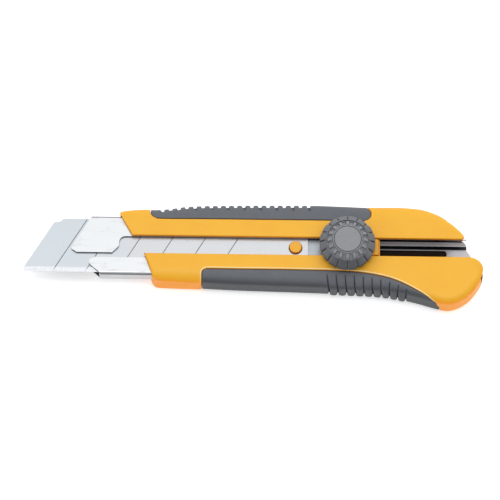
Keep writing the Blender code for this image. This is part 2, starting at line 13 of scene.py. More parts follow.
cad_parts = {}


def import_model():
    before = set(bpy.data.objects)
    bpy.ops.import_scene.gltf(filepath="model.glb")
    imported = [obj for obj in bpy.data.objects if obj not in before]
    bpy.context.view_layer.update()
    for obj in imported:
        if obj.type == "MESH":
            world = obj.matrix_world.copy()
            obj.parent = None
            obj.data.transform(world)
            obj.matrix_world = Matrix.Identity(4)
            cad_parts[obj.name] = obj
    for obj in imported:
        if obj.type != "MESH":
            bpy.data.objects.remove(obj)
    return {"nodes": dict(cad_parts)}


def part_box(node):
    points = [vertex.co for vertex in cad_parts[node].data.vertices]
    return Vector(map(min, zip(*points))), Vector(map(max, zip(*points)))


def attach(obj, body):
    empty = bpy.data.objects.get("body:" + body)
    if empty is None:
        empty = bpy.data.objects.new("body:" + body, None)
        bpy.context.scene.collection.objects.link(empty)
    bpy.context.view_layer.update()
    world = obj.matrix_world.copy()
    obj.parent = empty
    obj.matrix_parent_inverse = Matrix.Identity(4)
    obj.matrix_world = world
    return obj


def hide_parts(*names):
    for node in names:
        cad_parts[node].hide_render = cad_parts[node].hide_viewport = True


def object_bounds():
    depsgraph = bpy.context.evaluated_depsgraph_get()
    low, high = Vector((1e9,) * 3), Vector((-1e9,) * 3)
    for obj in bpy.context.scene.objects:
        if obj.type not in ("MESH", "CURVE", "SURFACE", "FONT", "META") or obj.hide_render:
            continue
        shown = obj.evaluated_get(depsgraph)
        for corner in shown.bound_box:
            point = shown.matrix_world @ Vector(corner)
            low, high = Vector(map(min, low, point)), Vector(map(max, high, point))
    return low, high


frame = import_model()
CAD_BOX = [list(corner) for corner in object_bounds()]

MM = 0.001
BLADE_LO, BLADE_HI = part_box("blade")
FACE_Z = BLADE_HI.z / MM
MID_Y = (BLADE_LO.y + BLADE_HI.y) / 2 / MM
SHIFT_X = BLADE_LO.x / MM + 102.04

# ---- blade
BLADE_TIP_X = -102.04
BLADE_HALF = 12.5
BLADE_THICK = 0.7
BLADE_BEVEL = 2.1
SCORE_SLOPE = 1 / math.tan(math.radians(59))
SCORE_PITCH = 14.45
SCORE_FIRST_X = -89.3
PIN_X = 18.5
PIN_R = 2.8

# ---- steel channel
SHEET = 0.8
CH_HALF = 13.6
CH_TOP = 1.1
CH_BACK = -6.6
CH_NOSE_X = -81.2
CH_REAR_X = 97.0
BEAD_Y = 5.4
BEAD_HALF = 1.7
BEAD_HIGH = 1.4
UPPER_LIP_Y = 4.15
FLAP_Y = -3.6
LOWER_LIP_Y = -5.85

# ---- handle
H_FRONT = 2.8
H_BACK = -10.5
BACK_ROUND = 3.0
CAVITY_HALF = 13.9
CAVITY_TOP = 1.35
CAVITY_BACK = -6.9
SLOT_HALF = 4.2
SEAT_GAP = 0.16
SEAT_DEEP = 1.65
GRIP_DEEP = 1.4
LIP_R = 0.38

# ---- wheel and slider
WHEEL_X = 41.4
WHEEL_R = 12.35
LOBES = 16
NECK_X0 = 33.4
NECK_X1 = 55.4
NECK_HALF = 3.85

OUTLINE = [
    (-54.3, 4.5, -53.5, 4.5, 0.8, 1),
    (-59.5, 14.0, -58.4, 12.0, 1.6, 0),
    (-59.0, 15.8, -57.3, 12.7, 2.2, 0),
    (-55.5, 16.7, -54.5, 13.0, 3.0, 0),
    (-49.5, 17.35, -49.0, 12.6, 3.4, 0),
    (-43.9, 17.4, -43.9, 12.1, 3.5, 0),
    (-37.3, 18.0, -37.3, 11.9, 3.5, 0),
    (-28.4, 19.3, -28.4, 11.9, 3.5, 0),
    (-10.6, 20.0, -10.6, 11.9, 3.5, 0),
    (7.2, 20.3, 7.2, 11.9, 3.5, 0),
    (25.0, 20.5, 25.0, 11.9, 3.5, 0),
    (38.3, 20.2, 38.3, 11.9, 3.5, 0),
    (51.6, 19.8, 51.6, 12.0, 3.5, 0),
    (64.9, 19.9, 64.4, 12.6, 3.5, 0),
    (73.8, 19.2, 72.4, 12.9, 3.5, 0),
    (78.3, 17.9, 76.2, 12.6, 3.3, 0),
    (82.7, 15.9, 80.2, 11.7, 3.0, 0),
    (87.2, 12.7, 84.8, 9.6, 2.6, 0),
    (91.4, 8.6, 89.6, 6.9, 2.0, 0),
    (93.3, 5.9, 92.2, 5.2, 1.2, 0),
    (92.6, 4.4, 91.9, 4.5, 0.8, 1),
    (94.4, 0.0, 93.7, 0.0, 0.8, 0),
    (96.3, -4.2, 95.6, -4.5, 0.8, 1),
    (99.0, -4.8, 97.2, -6.7, 1.6, 0),
    (101.2, -6.7, 98.8, -8.6, 2.2, 0),
    (102.04, -9.4, 99.4, -10.6, 2.6, 0),
    (100.9, -14.2, 97.9, -13.8, 2.8, 0),
    (96.9, -20.2, 94.2, -17.8, 3.0, 0),
    (93.1, -23.5, 91.0, -20.7, 3.0, 0),
    (88.0, -25.7, 87.0, -22.4, 3.0, 0),
    (82.7, -25.5, 82.9, -22.2, 3.0, 0),
    (73.8, -23.1, 74.6, -19.3, 3.2, 0),
    (64.9, -21.0, 66.2, -16.3, 3.4, 0),
    (56.0, -19.6, 57.0, -13.4, 3.5, 0),
    (42.7, -19.0, 43.4, -11.3, 3.5, 0),
    (20.5, -18.4, 20.5, -10.9, 3.5, 0),
    (-6.2, -17.8, -6.2, -10.9, 3.5, 0),
    (-24.0, -17.1, -24.0, -10.9, 3.5, 0),
    (-40.5, -16.4, -40.2, -10.9, 3.3, 0),
    (-44.3, -15.2, -43.5, -11.3, 2.0, 0),
    (-45.7, -12.2, -45.1, -10.2, 1.2, 0),
    (-48.6, -4.5, -48.0, -4.5, 0.8, 1),
    (-51.3, 0.0, -50.7, 0.0, 0.8, 0),
]


# ------------------------------------------------------------------ small tools
def world(point):
    x, y, z = point
    return Vector(((x + SHIFT_X) * MM, (y + MID_Y) * MM, (z + FACE_Z) * MM))


def clamp(v, lo=0.0, hi=1.0):
    return max(lo, min(hi, v))


def smooth(v):
    v = clamp(v)
    return v * v * (3 - 2 * v)


def ramp(x, pairs):
    if x <= pairs[0][0]:
        return pairs[0][1]
    for (xa, va), (xb, vb) in zip(pairs, pairs[1:]):
        if x <= xb:
            return va + (vb - va) * (x - xa) / (xb - xa)
    return pairs[-1][1]


def soft_ramp(x, pairs, half):
    return sum(ramp(x + half * (k / 6.0), pairs) for k in range(-6, 7)) / 13.0


def spread(a, b, n):
    return [a + (b - a) * i / (n - 1) for i in range(n)]


def new_object(name, bm, mat=None, sharp=30, weighted=False):
    """Object from a mesh in working millimetres."""
    for v in bm.verts:
        v.co = world(v.co)
    bmesh.ops.recalc_face_normals(bm, faces=bm.faces)
    if bm.calc_volume(signed=True) < 0:
        bmesh.ops.reverse_faces(bm, faces=bm.faces)
    mesh = bpy.data.meshes.new(name)
    bm.to_mesh(mesh)
    bm.free()
    if mat is not None:
        mesh.materials.append(mat)
    obj = bpy.data.objects.new(name, mesh)
    bpy.context.scene.collection.objects.link(obj)
    finish_shading(obj, sharp, weighted)
    return obj


def finish_shading(obj, sharp, weighted):
    if sharp:
        obj.data.shade_smooth()
        obj.data.set_sharp_from_angle(angle=math.radians(sharp))
    if weighted:
        mod = obj.modifiers.new("even_faces", "WEIGHTED_NORMAL")
        mod.keep_sharp = True


def loft(rings, loop=False):
    bm = bmesh.new()
    rows = [[bm.verts.new(p) for p in ring] for ring in rings]
    n = len(rows[0])
    pairs = list(zip(rows, rows[1:]))
    if loop:
        pairs.append((rows[-1], rows[0]))
    for a, b in pairs:
        for i in range(n):
            j = (i + 1) % n
            bm.faces.new((a[i], a[j], b[j], b[i]))
    if not loop:
        bm.faces.new(rows[0])
        bm.faces.new(rows[-1])
    return bm


def prism(points, z0, z1):
    return loft([[(x, y, z0) for x, y in points], [(x, y, z1) for x, y in points]])


def bar(points, x0, x1):
    return loft([[(x0, y, z) for y, z in points], [(x1, y, z) for y, z in points]])


def box(x0, x1, y0, y1, z0, z1):
    return prism([(x0, y0), (x1, y0), (x1, y1), (x0, y1)], z0, z1)


def rounded_rect(x0, x1, y0, y1, r, steps=6):
    points = []
    for cx, cy, start in (
        (x1 - r, y1 - r, 0),
        (x0 + r, y1 - r, 90),
        (x0 + r, y0 + r, 180),
        (x1 - r, y0 + r, 270),
    ):
        for i in range(steps + 1):
            a = math.radians(start + 90 * i / steps)
            points.append((cx + r * math.cos(a), cy + r * math.sin(a)))
    return points


def soft_block(x0, x1, y0, y1, z0, z1, corner, edge, steps=5):
    """Block with rounded corners in plan and a rounded upper edge."""
    rings = [[(x, y, z0) for x, y in rounded_rect(x0, x1, y0, y1, corner)]]
    for i in range(steps + 1):
        a = math.pi / 2 * i / steps
        inset = edge * (1 - math.cos(a))
        z = z1 - edge * (1 - math.sin(a))
        outline = rounded_rect(
            x0 + inset, x1 - inset, y0 + inset, y1 - inset, max(corner - inset, 0.05)
        )
        rings.append([(x, y, z) for x, y in outline])
    return loft(rings)


def circle(cx, cy, r, n):
    return [
        (cx + r * math.cos(2 * math.pi * i / n), cy + r * math.sin(2 * math.pi * i / n))
        for i in range(n)
    ]


def arc(cy, cz, r, a0, a1, steps):
    """Points of an arc in the y, z plane, angles in degrees."""
    out = []
    for i in range(steps + 1):
        a = math.radians(a0 + (a1 - a0) * i / steps)
        out.append((cy + r * math.cos(a), cz + r * math.sin(a)))
    return out


def turned(profile, cx, n, bored=True, field=None):
    """Profile of (radius, z) turned about a vertical axis. field(r, z, angle) may move a point."""
    rings = []
    for r, z in profile:
        ring = []
        for i in range(n):
            a = 2 * math.pi * i / n
            rr, zz = field(r, z, a) if field else (r, z)
            ring.append((cx + rr * math.cos(a), rr * math.sin(a), zz))
        rings.append(ring)
    return loft(rings, loop=bored)


def cut(obj, bm, operation="DIFFERENCE"):
    """Boolean applied at once; the tool is then deleted."""
    tool = new_object("tool", bm, sharp=0)
    mod = obj.modifiers.new("cut", "BOOLEAN")
    mod.operation = operation
    mod.object = tool
    mod.solver = "EXACT"
    bpy.context.view_layer.update()
    result = bpy.data.meshes.new_from_object(
        obj.evaluated_get(bpy.context.evaluated_depsgraph_get())
    )
    old = obj.data
    obj.modifiers.remove(mod)
    obj.data = result
    bpy.data.meshes.remove(old)
    result.name = obj.name
    tool_mesh = tool.data
    bpy.data.objects.remove(tool)
    bpy.data.meshes.remove(tool_mesh)


def bevel(obj, width, angle=35, segments=2):
    mod = obj.modifiers.new("edge_break", "BEVEL")
    mod.width = width * MM
    mod.segments = segments
    mod.limit_method = "ANGLE"
    mod.angle_limit = math.radians(angle)
    mod.use_clamp_overlap = True
    mod.harden_normals = False


# ------------------------------------------------------------------ materials
class Paint:
    """Node material in millimetres of the row frame."""

    def __init__(self, name):
        self.mat = bpy.data.materials.new(name)
        self.mat.use_nodes = True
        self.tree = self.mat.node_tree
        self.bsdf = self.tree.nodes["Principled BSDF"]
        self.coord = self.node("ShaderNodeTexCoord")
        scale = self.node("ShaderNodeVectorMath", operation="SCALE")
        scale.inputs["Scale"].default_value = 1000.0
        self.link(self.coord.outputs["Object"], scale.inputs[0])
        self.mm = scale.outputs[0]

    def node(self, kind, **settings):
        made = self.tree.nodes.new(kind)
        for key, value in settings.items():
            setattr(made, key, value)
        return made

    def link(self, a, b):
        self.tree.links.new(a, b)

    def put(self, value, socket):
        if hasattr(value, "links") or isinstance(value, bpy.types.NodeSocket):
            self.link(value, socket)
        else:
            socket.default_value = value

    def stretch(self, sx, sy, sz, turn=0.0):
        mapping = self.node("ShaderNodeMapping")
        mapping.inputs["Rotation"].default_value = (0, 0, math.radians(turn))
        mapping.inputs["Scale"].default_value = (sx, sy, sz)
        self.link(self.mm, mapping.inputs["Vector"])
        return mapping.outputs[0]

    def noise(self, scale, detail=3.0, rough=0.55, vector=None):
        made = self.node("ShaderNodeTexNoise")
        made.inputs["Scale"].default_value = scale
        made.inputs["Detail"].default_value = detail
        made.inputs["Roughness"].default_value = rough
        self.link(vector or self.mm, made.inputs["Vector"])
        return made.outputs[0]

    def math(self, operation, a, b=0.0, c=0.0, clamp_it=False):
        made = self.node("ShaderNodeMath", operation=operation, use_clamp=clamp_it)
        for value, socket in zip((a, b, c), made.inputs):
            self.put(value, socket)
        return made.outputs[0]

    def span(self, value, lo, hi, to_lo, to_hi):
        made = self.node("ShaderNodeMapRange", clamp=True, interpolation_type="SMOOTHSTEP")
        self.link(value, made.inputs[0])
        for key, v in (("From Min", lo), ("From Max", hi), ("To Min", to_lo), ("To Max", to_hi)):
            made.inputs[key].default_value = v
        return made.outputs[0]

    def mix(self, share, a, b, blend="MIX"):
        made = self.node("ShaderNodeMix", data_type="RGBA", blend_type=blend)
        self.put(share, made.inputs[0])
        for value, socket in ((a, made.inputs[6]), (b, made.inputs[7])):
            self.put((*value, 1.0) if isinstance(value, tuple) else value, socket)
        return made.outputs[2]

    def mix_value(self, share, a, b):
        made = self.node("ShaderNodeMix", data_type="FLOAT")
        for value, socket in zip((share, a, b), (made.inputs[0], made.inputs[2], made.inputs[3])):
            self.put(value, socket)
        return made.outputs[0]

    def axis(self, vector, which):
        made = self.node("ShaderNodeSeparateXYZ")
        self.link(vector, made.inputs[0])
        return made.outputs[which]

    def bump(self, height, strength, distance, under=None):
        made = self.node("ShaderNodeBump")
        made.inputs["Strength"].default_value = strength
        made.inputs["Distance"].default_value = distance * MM
        self.link(height, made.inputs["Height"])
        if under is not None:
            self.link(under, made.inputs["Normal"])
        return made.outputs[0]

    def set(self, **values):
        for key, value in values.items():
            if isinstance(value, tuple):
                value = (*value, 1.0)
            self.put(value, self.bsdf.inputs[key.replace("_", " ")])
        return self


def yellow_paint(name, flat, side, deep=None):
    """Moulded plastic, with painted shade that makes it deeper orange on its sides and darker in its creases. deep is a
    height below which its upward inner faces are painted near-black as shade.
    """
    p = Paint(name)
    up = p.axis(p.coord.outputs["Normal"], 2)
    # painted shade: faces tilted away from +z are mixed towards the darker side colour
    tilt = p.span(up, 0.30, 0.985, 1.0, 0.0)
    base = p.mix(tilt, flat, side)
    cloud = p.span(p.noise(0.06, 2.0), 0.35, 0.65, 0.0, 1.0)
    base = p.mix(cloud, base, p.mix(1.0, base, (0.985, 0.955, 0.90), "MULTIPLY"))
    speck = p.span(p.noise(1.1, 4.0), 0.30, 0.72, 0.0, 0.05)
    base = p.mix(speck, base, (0.62, 0.27, 0.02))
    # painted shade: concave creases, found by low pointiness, are darkened
    curvature_shading = p.node("ShaderNodeNewGeometry").outputs["Pointiness"]
    base = p.mix(p.span(curvature_shading, 0.40, 0.48, 0.55, 0.0), base, (0.42, 0.15, 0.01))
    sheen = p.mix_value(tilt, 0.5, 0.2)
    if deep is not None:
        z = p.axis(p.mm, 2)
        inside = p.span(z, FACE_Z + deep - 0.5, FACE_Z + deep, 1.0, 0.0)
        facing = p.span(up, 0.3, 0.7, 0.0, 1.0)
        # painted shade: upward inner faces deep inside the handle are painted near-black, with less specular
        inner_shade = p.math("MULTIPLY", inside, facing)
        base = p.mix(inner_shade, base, (0.018, 0.010, 0.006))
        sheen = p.mix_value(inner_shade, sheen, 0.06)
    rough = p.span(p.noise(0.35, 3.0), 0.3, 0.7, 0.34, 0.44)
    fine = p.bump(p.noise(5.5, 2.0), 0.10, 0.02)
    wave = p.bump(p.noise(0.12, 1.0), 0.12, 0.35, fine)
    p.set(Base_Color=base, Roughness=rough, Normal=wave, IOR=1.46, Specular_IOR_Level=sheen)
    p.bsdf.inputs["Subsurface Weight"].default_value = 0.05
    p.bsdf.inputs["Subsurface Radius"].default_value = (0.0012, 0.0005, 0.0001)
    return p.mat


def rubber_paint(name, base_colour, high, grain=0.28):
    p = Paint(name)
    cloud = p.span(p.noise(0.16, 3.0), 0.3, 0.7, 0.0, 1.0)
    base = p.mix(cloud, base_colour, tuple(c * 1.07 for c in base_colour))
    dust = p.span(p.noise(3.4, 5.0, 0.65), 0.50, 0.80, 0.0, 0.30)
    base = p.mix(dust, base, high)
    # painted highlight on convex edges and painted shade in concave creases, both from pointiness
    curvature_shading = p.node("ShaderNodeNewGeometry").outputs["Pointiness"]
    base = p.mix(p.span(curvature_shading, 0.52, 0.62, 0.0, 0.45), base, high)
    base = p.mix(p.span(curvature_shading, 0.38, 0.48, 0.75, 0.0), base, (0.02, 0.021, 0.024))
    # painted shade: sunk notches and grooves are darkened by how deep they are sunk
    groove = p.node("ShaderNodeAttribute", attribute_name="groove").outputs["Fac"]
    base = p.mix(p.span(groove, 0.30, 0.85, 0.0, 0.80), base, (0.016, 0.017, 0.020))
    # painted shade: faces turned towards -y, the belly's underside, are darkened
    down = p.axis(p.coord.outputs["Normal"], 1)
    base = p.mix(p.span(down, -0.80, -0.25, 0.80, 0.0), base, tuple(c * 0.35 for c in base_colour))
    rough = p.span(p.noise(1.2, 4.0), 0.3, 0.7, 0.50, 0.64)
    fine = p.bump(p.noise(4.2, 3.0, 0.6), grain, 0.05)
    p.set(Base_Color=base, Roughness=rough, Normal=fine, IOR=1.47)
    return p.mat


def brushed_paint(name, colour, rough_lo, rough_hi, along=(0.03, 3.0, 3.0), grain=0.10, dull=None):
    """Rolled or brushed metal with its grain along one axis."""
    p = Paint(name)
    lines = p.noise(1.6, 4.0, 0.6, p.stretch(*along))
    cloud = p.noise(0.11, 3.0)
    base = p.mix(p.span(lines, 0.3, 0.7, 0.0, 1.0), colour, tuple(c * 0.93 for c in colour))
    base = p.mix(p.span(cloud, 0.35, 0.7, 0.0, 0.35), base, dull or tuple(c * 0.86 for c in colour))
    # painted shade: concave creases, found by low pointiness, are darkened
    curvature_shading = p.node("ShaderNodeNewGeometry").outputs["Pointiness"]
    base = p.mix(p.span(curvature_shading, 0.36, 0.48, 0.5, 0.0), base, tuple(c * 0.35 for c in colour))
    rough = p.math(
        "ADD",
        p.span(lines, 0.3, 0.7, rough_lo, rough_hi),
        p.span(p.noise(0.5, 3.0), 0.35, 0.7, 0.0, 0.06),
    )
    p.set(Base_Color=base, Roughness=rough, Normal=p.bump(lines, grain, 0.02), Metallic=1.0)
    return p.mat


def channel_paint(name):
    """Stainless sheet: bright outside, with painted dark reflections on its cut edges and on upper faces and bends
    turned towards +y, painted shade on its inner walls, and painted near-black shade with painted lit bands on its
    inner floor.
    """
    p = Paint(name)
    up = p.axis(p.coord.outputs["Normal"], 2)
    x, y, z = (p.axis(p.mm, k) for k in range(3))
    lines = p.noise(1.6, 4.0, 0.6, p.stretch(0.03, 3.0, 3.0))
    base = p.mix(p.span(lines, 0.3, 0.7, 0.0, 1.0), (0.635, 0.650, 0.655), (0.600, 0.612, 0.616))
    smear = p.span(p.noise(0.16, 3.0, 0.6, p.stretch(0.6, 1.8, 1.0)), 0.52, 0.74, 0.0, 0.55)
    base = p.mix(smear, base, (0.40, 0.40, 0.405))
    # painted dark reflection: the sheet's cut edges near the top face are painted near-black
    high = p.span(z, FACE_Z - 0.7, FACE_Z - 0.4, 0.0, 1.0)
    edge = p.math("MULTIPLY", p.span(up, 0.35, 0.80, 1.0, 0.0), high)
    base = p.mix(edge, base, (0.075, 0.078, 0.082))
    # painted dark reflection on upper faces and bends turned towards +y
    spine_shade = p.math("MULTIPLY", p.span(p.axis(p.coord.outputs["Normal"], 1), 0.18, 0.45, 0.0, 1.0), high)
    base = p.mix(spine_shade, base, (0.13, 0.133, 0.138))
    # painted shade on the inner side walls below the top
    wall = p.math("MULTIPLY", p.span(up, 0.30, 0.80, 1.0, 0.0), p.math("SUBTRACT", 1.0, high))
    base = p.mix(p.math("MULTIPLY", wall, 0.85), base, (0.50, 0.50, 0.505))
    # painted shade and painted light inside: the deep floor is painted near-black, with painted lit bands on the bead
    # flank, the floor slot's edge and the rear end, which also turn non-metallic
    low_inside = p.math("MULTIPLY", p.span(z, FACE_Z - 3.0, FACE_Z - 2.0, 1.0, 0.0), p.span(up, 0.1, 0.5, 0.0, 1.0))
    low_inside = p.math("MULTIPLY", low_inside, p.span(x, SHIFT_X - 60.0, SHIFT_X - 54.0, 0.0, 1.0))
    def band(a, b, soft):
        rise = p.span(y, MID_Y + a - soft, MID_Y + a + soft, 0.0, 1.0)
        return p.math("MULTIPLY", rise, p.span(y, MID_Y + b - soft, MID_Y + b + soft, 1.0, 0.0))

    flank = band(3.75, 5.15, 0.12)
    line = p.math("MULTIPLY", band(1.55, 2.1, 0.12), 0.55)
    tail = p.span(x, SHIFT_X + 80.0, SHIFT_X + 90.5, 0.0, 1.0)
    rear = p.math("MULTIPLY", tail, p.span(y, MID_Y + 1.5, MID_Y + 2.0, 0.85, 0.0))
    light = p.math("MAXIMUM", p.math("MAXIMUM", flank, line), rear)
    shine = p.mix(tail, (0.50, 0.50, 0.53), (0.66, 0.66, 0.68))
    inside_light_and_shade = p.mix(light, p.mix(p.span(x, SHIFT_X + 90.0, SHIFT_X + 95.0, 0.0, 1.0), (0.006, 0.006, 0.008), (0.03, 0.03, 0.032)), shine)
    base = p.mix(low_inside, base, inside_light_and_shade)
    steel = p.math("SUBTRACT", 1.0, p.math("MULTIPLY", low_inside, light))
    rough = p.math("ADD", p.span(lines, 0.3, 0.7, 0.26, 0.36), p.math("MULTIPLY", smear, 0.2))
    p.set(Base_Color=base, Roughness=rough, Normal=p.bump(lines, 0.10, 0.02), Metallic=steel)
    return p.mat


def blade_paint(name):
    """Rolled strip with a ground edge and score lines painted dark as shade in their grooves; its thin side faces get
    painted shade. The edge's grinding lines run across it.
    """
    p = Paint(name)
    x, y, z = (p.axis(p.mm, k) for k in range(3))
    up = p.axis(p.coord.outputs["Normal"], 2)
    edge_y = BLADE_LO.y / MM
    on_bevel = p.span(y, edge_y + BLADE_BEVEL - 0.06, edge_y + BLADE_BEVEL + 0.04, 1.0, 0.0)
    rolled = p.noise(1.5, 4.0, 0.6, p.stretch(0.05, 2.4, 1.0))
    ground = p.noise(2.2, 3.0, 0.6, p.stretch(3.2, 0.12, 1.0, 8.0))
    cloud = p.noise(0.07, 3.0)
    flat = p.mix(p.span(rolled, 0.3, 0.7, 0.0, 1.0), (0.500, 0.535, 0.560), (0.470, 0.505, 0.530))
    flat = p.mix(p.span(cloud, 0.35, 0.7, 0.0, 0.5), flat, (0.475, 0.505, 0.525))
    # painted reflection: the part of the strip inside the handle is shifted to a neutral grey for the different light
    # it gets there
    covered = p.span(x, SHIFT_X - 62.0, SHIFT_X - 52.0, 0.0, 0.75)
    flat = p.mix(covered, flat, (0.525, 0.525, 0.530))
    bevel_colour = p.mix(p.span(ground, 0.3, 0.7, 0.0, 1.0), (0.545, 0.553, 0.572), (0.436, 0.444, 0.463))
    base = p.mix(on_bevel, flat, bevel_colour)
    # painted shade: the score lines are painted near-black for the shade in their grooves
    lean = p.math("MULTIPLY", p.math("SUBTRACT", y, edge_y), SCORE_SLOPE)
    turn = p.math("DIVIDE", p.math("SUBTRACT", p.math("SUBTRACT", x, SHIFT_X + SCORE_FIRST_X), lean), SCORE_PITCH)
    part = p.math("SUBTRACT", p.math("FRACT", p.math("ADD", turn, 0.5)), 0.5)
    near = p.math("MULTIPLY", p.math("ABSOLUTE", part), SCORE_PITCH * math.sin(math.radians(59)))
    line = p.math("MULTIPLY", p.span(near, 0.09, 0.20, 0.85, 0.0), p.span(turn, 5.4, 5.5, 1.0, 0.0))
    line = p.math("MULTIPLY", line, p.span(turn, -0.5, -0.4, 0.0, 1.0))
    line = p.math("MULTIPLY", line, p.mix_value(on_bevel, 1.0, 0.35))
    base = p.mix(line, base, (0.085, 0.090, 0.100))
    # painted shade on the strip's thin side faces
    side = p.span(up, 0.25, 0.65, 1.0, 0.0)
    base = p.mix(side, base, (0.11, 0.115, 0.12))
    rough = p.math("ADD", p.mix_value(on_bevel, 0.27, 0.40), p.span(rolled, 0.3, 0.7, -0.03, 0.05))
    height = p.mix(on_bevel, rolled, ground)
    p.set(
        Base_Color=base,
        Roughness=rough,
        Normal=p.bump(height, 0.10, 0.015),
        Metallic=1.0,
    )
    return p.mat


def plastic_paint(name, colour, high, rough_lo=0.42, rough_hi=0.55):
    p = Paint(name)
    cloud = p.span(p.noise(0.4, 3.0), 0.35, 0.7, 0.0, 0.5)
    base = p.mix(cloud, colour, tuple(c * 1.08 for c in colour))
    # painted highlight on convex edges and painted shade in concave creases, both from pointiness
    curvature_shading = p.node("ShaderNodeNewGeometry").outputs["Pointiness"]
    base = p.mix(p.span(curvature_shading, 0.51, 0.58, 0.0, 0.7), base, high)
    base = p.mix(p.span(curvature_shading, 0.40, 0.485, 0.8, 0.0), base, tuple(c * 0.2 for c in colour))
    rough = p.span(p.noise(1.4, 3.0), 0.3, 0.7, rough_lo, rough_hi)
    fine = p.bump(p.noise(4.8, 2.0), 0.12, 0.03)
    p.set(Base_Color=base, Roughness=rough, Normal=fine, IOR=1.48)
    return p.mat


YELLOW = yellow_paint("moulded_yellow", (0.905, 0.463, 0.018), (0.960, 0.340, 0.006), deep=-6.3)
# painted highlight: the lip bead is a lighter cream yellow, which draws a light line along the belly grip's edge
LIP_HIGHLIGHT = yellow_paint("lip_painted_highlight", (0.980, 0.740, 0.330), (0.960, 0.620, 0.200))
YELLOW_INNER = yellow_paint("slider_yellow", (0.880, 0.420, 0.018), (0.700, 0.250, 0.008))
RUBBER = rubber_paint("grip_rubber", (0.110, 0.118, 0.132), (0.180, 0.190, 0.205))
WHEEL_RUBBER = rubber_paint("wheel_rubber", (0.140, 0.145, 0.160), (0.250, 0.255, 0.270), 0.20)
HUB = plastic_paint("wheel_hub_plastic", (0.245, 0.252, 0.268), (0.400, 0.410, 0.420))
CAP = plastic_paint("wheel_cap_plastic", (0.245, 0.250, 0.260), (0.330, 0.335, 0.345), 0.38, 0.48)
CHANNEL = channel_paint("channel_stainless")
PLATE = brushed_paint("plate_steel", (0.360, 0.390, 0.415), 0.28, 0.40)
BLADE = blade_paint("blade_steel")
ZINC = brushed_paint("zinc_plated", (0.62, 0.63, 0.65), 0.32, 0.46, (0.6, 0.6, 3.0), 0.08)
SPRING = brushed_paint("spring_steel", (0.50, 0.52, 0.55), 0.28, 0.40, (0.6, 0.6, 3.0), 0.08)
BRASS = brushed_paint("nut_brass", (0.80, 0.60, 0.27), 0.30, 0.42, (0.6, 0.6, 3.0), 0.08)


# ------------------------------------------------------------------ handle surface
def spline(rows, steps):
    """Closed Catmull-Rom through the rows; the last value of a row marks a corner."""
    n = len(rows)
    out = []
    for i in range(n):
        p1, p2 = rows[i], rows[(i + 1) % n]
        p0 = rows[i - 1] if not p1[-1] else p1
        p3 = rows[(i + 2) % n] if not p2[-1] else p2
        for k in range(steps):
            t = k / steps
            out.append(
                tuple(
                    0.5
                    * (
                        2 * b
                        + (c - a) * t
                        + (2 * a - 5 * b + 4 * c - d) * t * t
                        + (3 * b - a - 3 * c + d) * t**3
                    )
                    for a, b, c, d in zip(p0[:-1], p1[:-1], p2[:-1], p3[:-1])
                )
            )
    return out


def inward(points):
    n = len(points)
    found = []
    for i in range(n):
        d = Vector(points[(i + 1) % n][:2]) - Vector(points[i - 1][:2])
        d.normalize()
        found.append(Vector((d.y, -d.x)))
    return found


def back_radii(points, steps):
    """Radius of the back edge all round, kept well under the outline's own curvature."""
    n = len(points)
    reach = max(steps // 6, 1)
    limits = []
    for i in range(n):
        a, b, c = (Vector(points[(i + k) % n][:2]) for k in (-reach, 0, reach))
        area = abs((b - a).x * (c - a).y - (b - a).y * (c - a).x)
        sides = (b - a).length * (c - b).length * (c - a).length
        bend = sides / (2 * area) if area > 1e-6 else 1e6
        limits.append(min(BACK_ROUND, 0.2 + points[i][4] * 0.8, 0.55 * bend))
    low = [min(limits[(i + k) % n] for k in range(-steps, steps + 1)) for i in range(n)]
    return [sum(low[(i + k) % n] for k in range(-steps, steps + 1)) / (2 * steps + 1) for i in range(n)]


def shell_rings(steps=12, front_steps=12, back_steps=8):
    points = spline(OUTLINE, steps)
    normals = inward(points)
    radii = back_radii(points, steps)
    rings = []
    for k in range(front_steps, -1, -1):
        t = math.pi / 2 * k / front_steps
        c, s = math.cos(t), math.sin(t)
        rings.append(
            [
                (qx + (px - qx) * c, qy + (py - qy) * c, H_FRONT - drop * (1 - s))
                for px, py, qx, qy, drop in points
            ]
        )
    for k in range(back_steps + 1):
        t = math.pi / 2 * k / back_steps
        c, s = math.cos(t), math.sin(t)
        ring = []
        for (px, py, qx, qy, drop), nv, r in zip(points, normals, radii):
            ring.append(
                (px + nv.x * r * (1 - c), py + nv.y * r * (1 - c), H_BACK + r * (1 - s))
            )
        rings.append(ring)
    lo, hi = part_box("handle_shell")
    lo_x, hi_x = lo.x / MM - SHIFT_X, hi.x / MM - SHIFT_X
    lo_y, hi_y = lo.y / MM - MID_Y, hi.y / MM - MID_Y
    return [[(clamp(x, lo_x, hi_x), clamp(y, lo_y, hi_y), z) for x, y, z in ring] for ring in rings]


def long_side(top):
    rows = [
        r
        for r in spline(OUTLINE, 24)
        if (r[1] > 0) == top and -50 < r[0] < 90 and abs(r[1]) > (14 if top else 15)
    ]
    rows.sort()
    return rows


SIDES = {True: long_side(True), False: long_side(False)}


def side_row(x, top):
    rows = SIDES[top]
    lo, hi = 0, len(rows) - 1
    while hi - lo > 1:
        mid = (lo + hi) // 2
        if rows[mid][0] <= x:
            lo = mid
        else:
            hi = mid
    a, b = rows[lo], rows[hi]
    t = (x - a[0]) / max(b[0] - a[0], 1e-9)
    return [p + (q - p) * t for p, q in zip(a, b)]


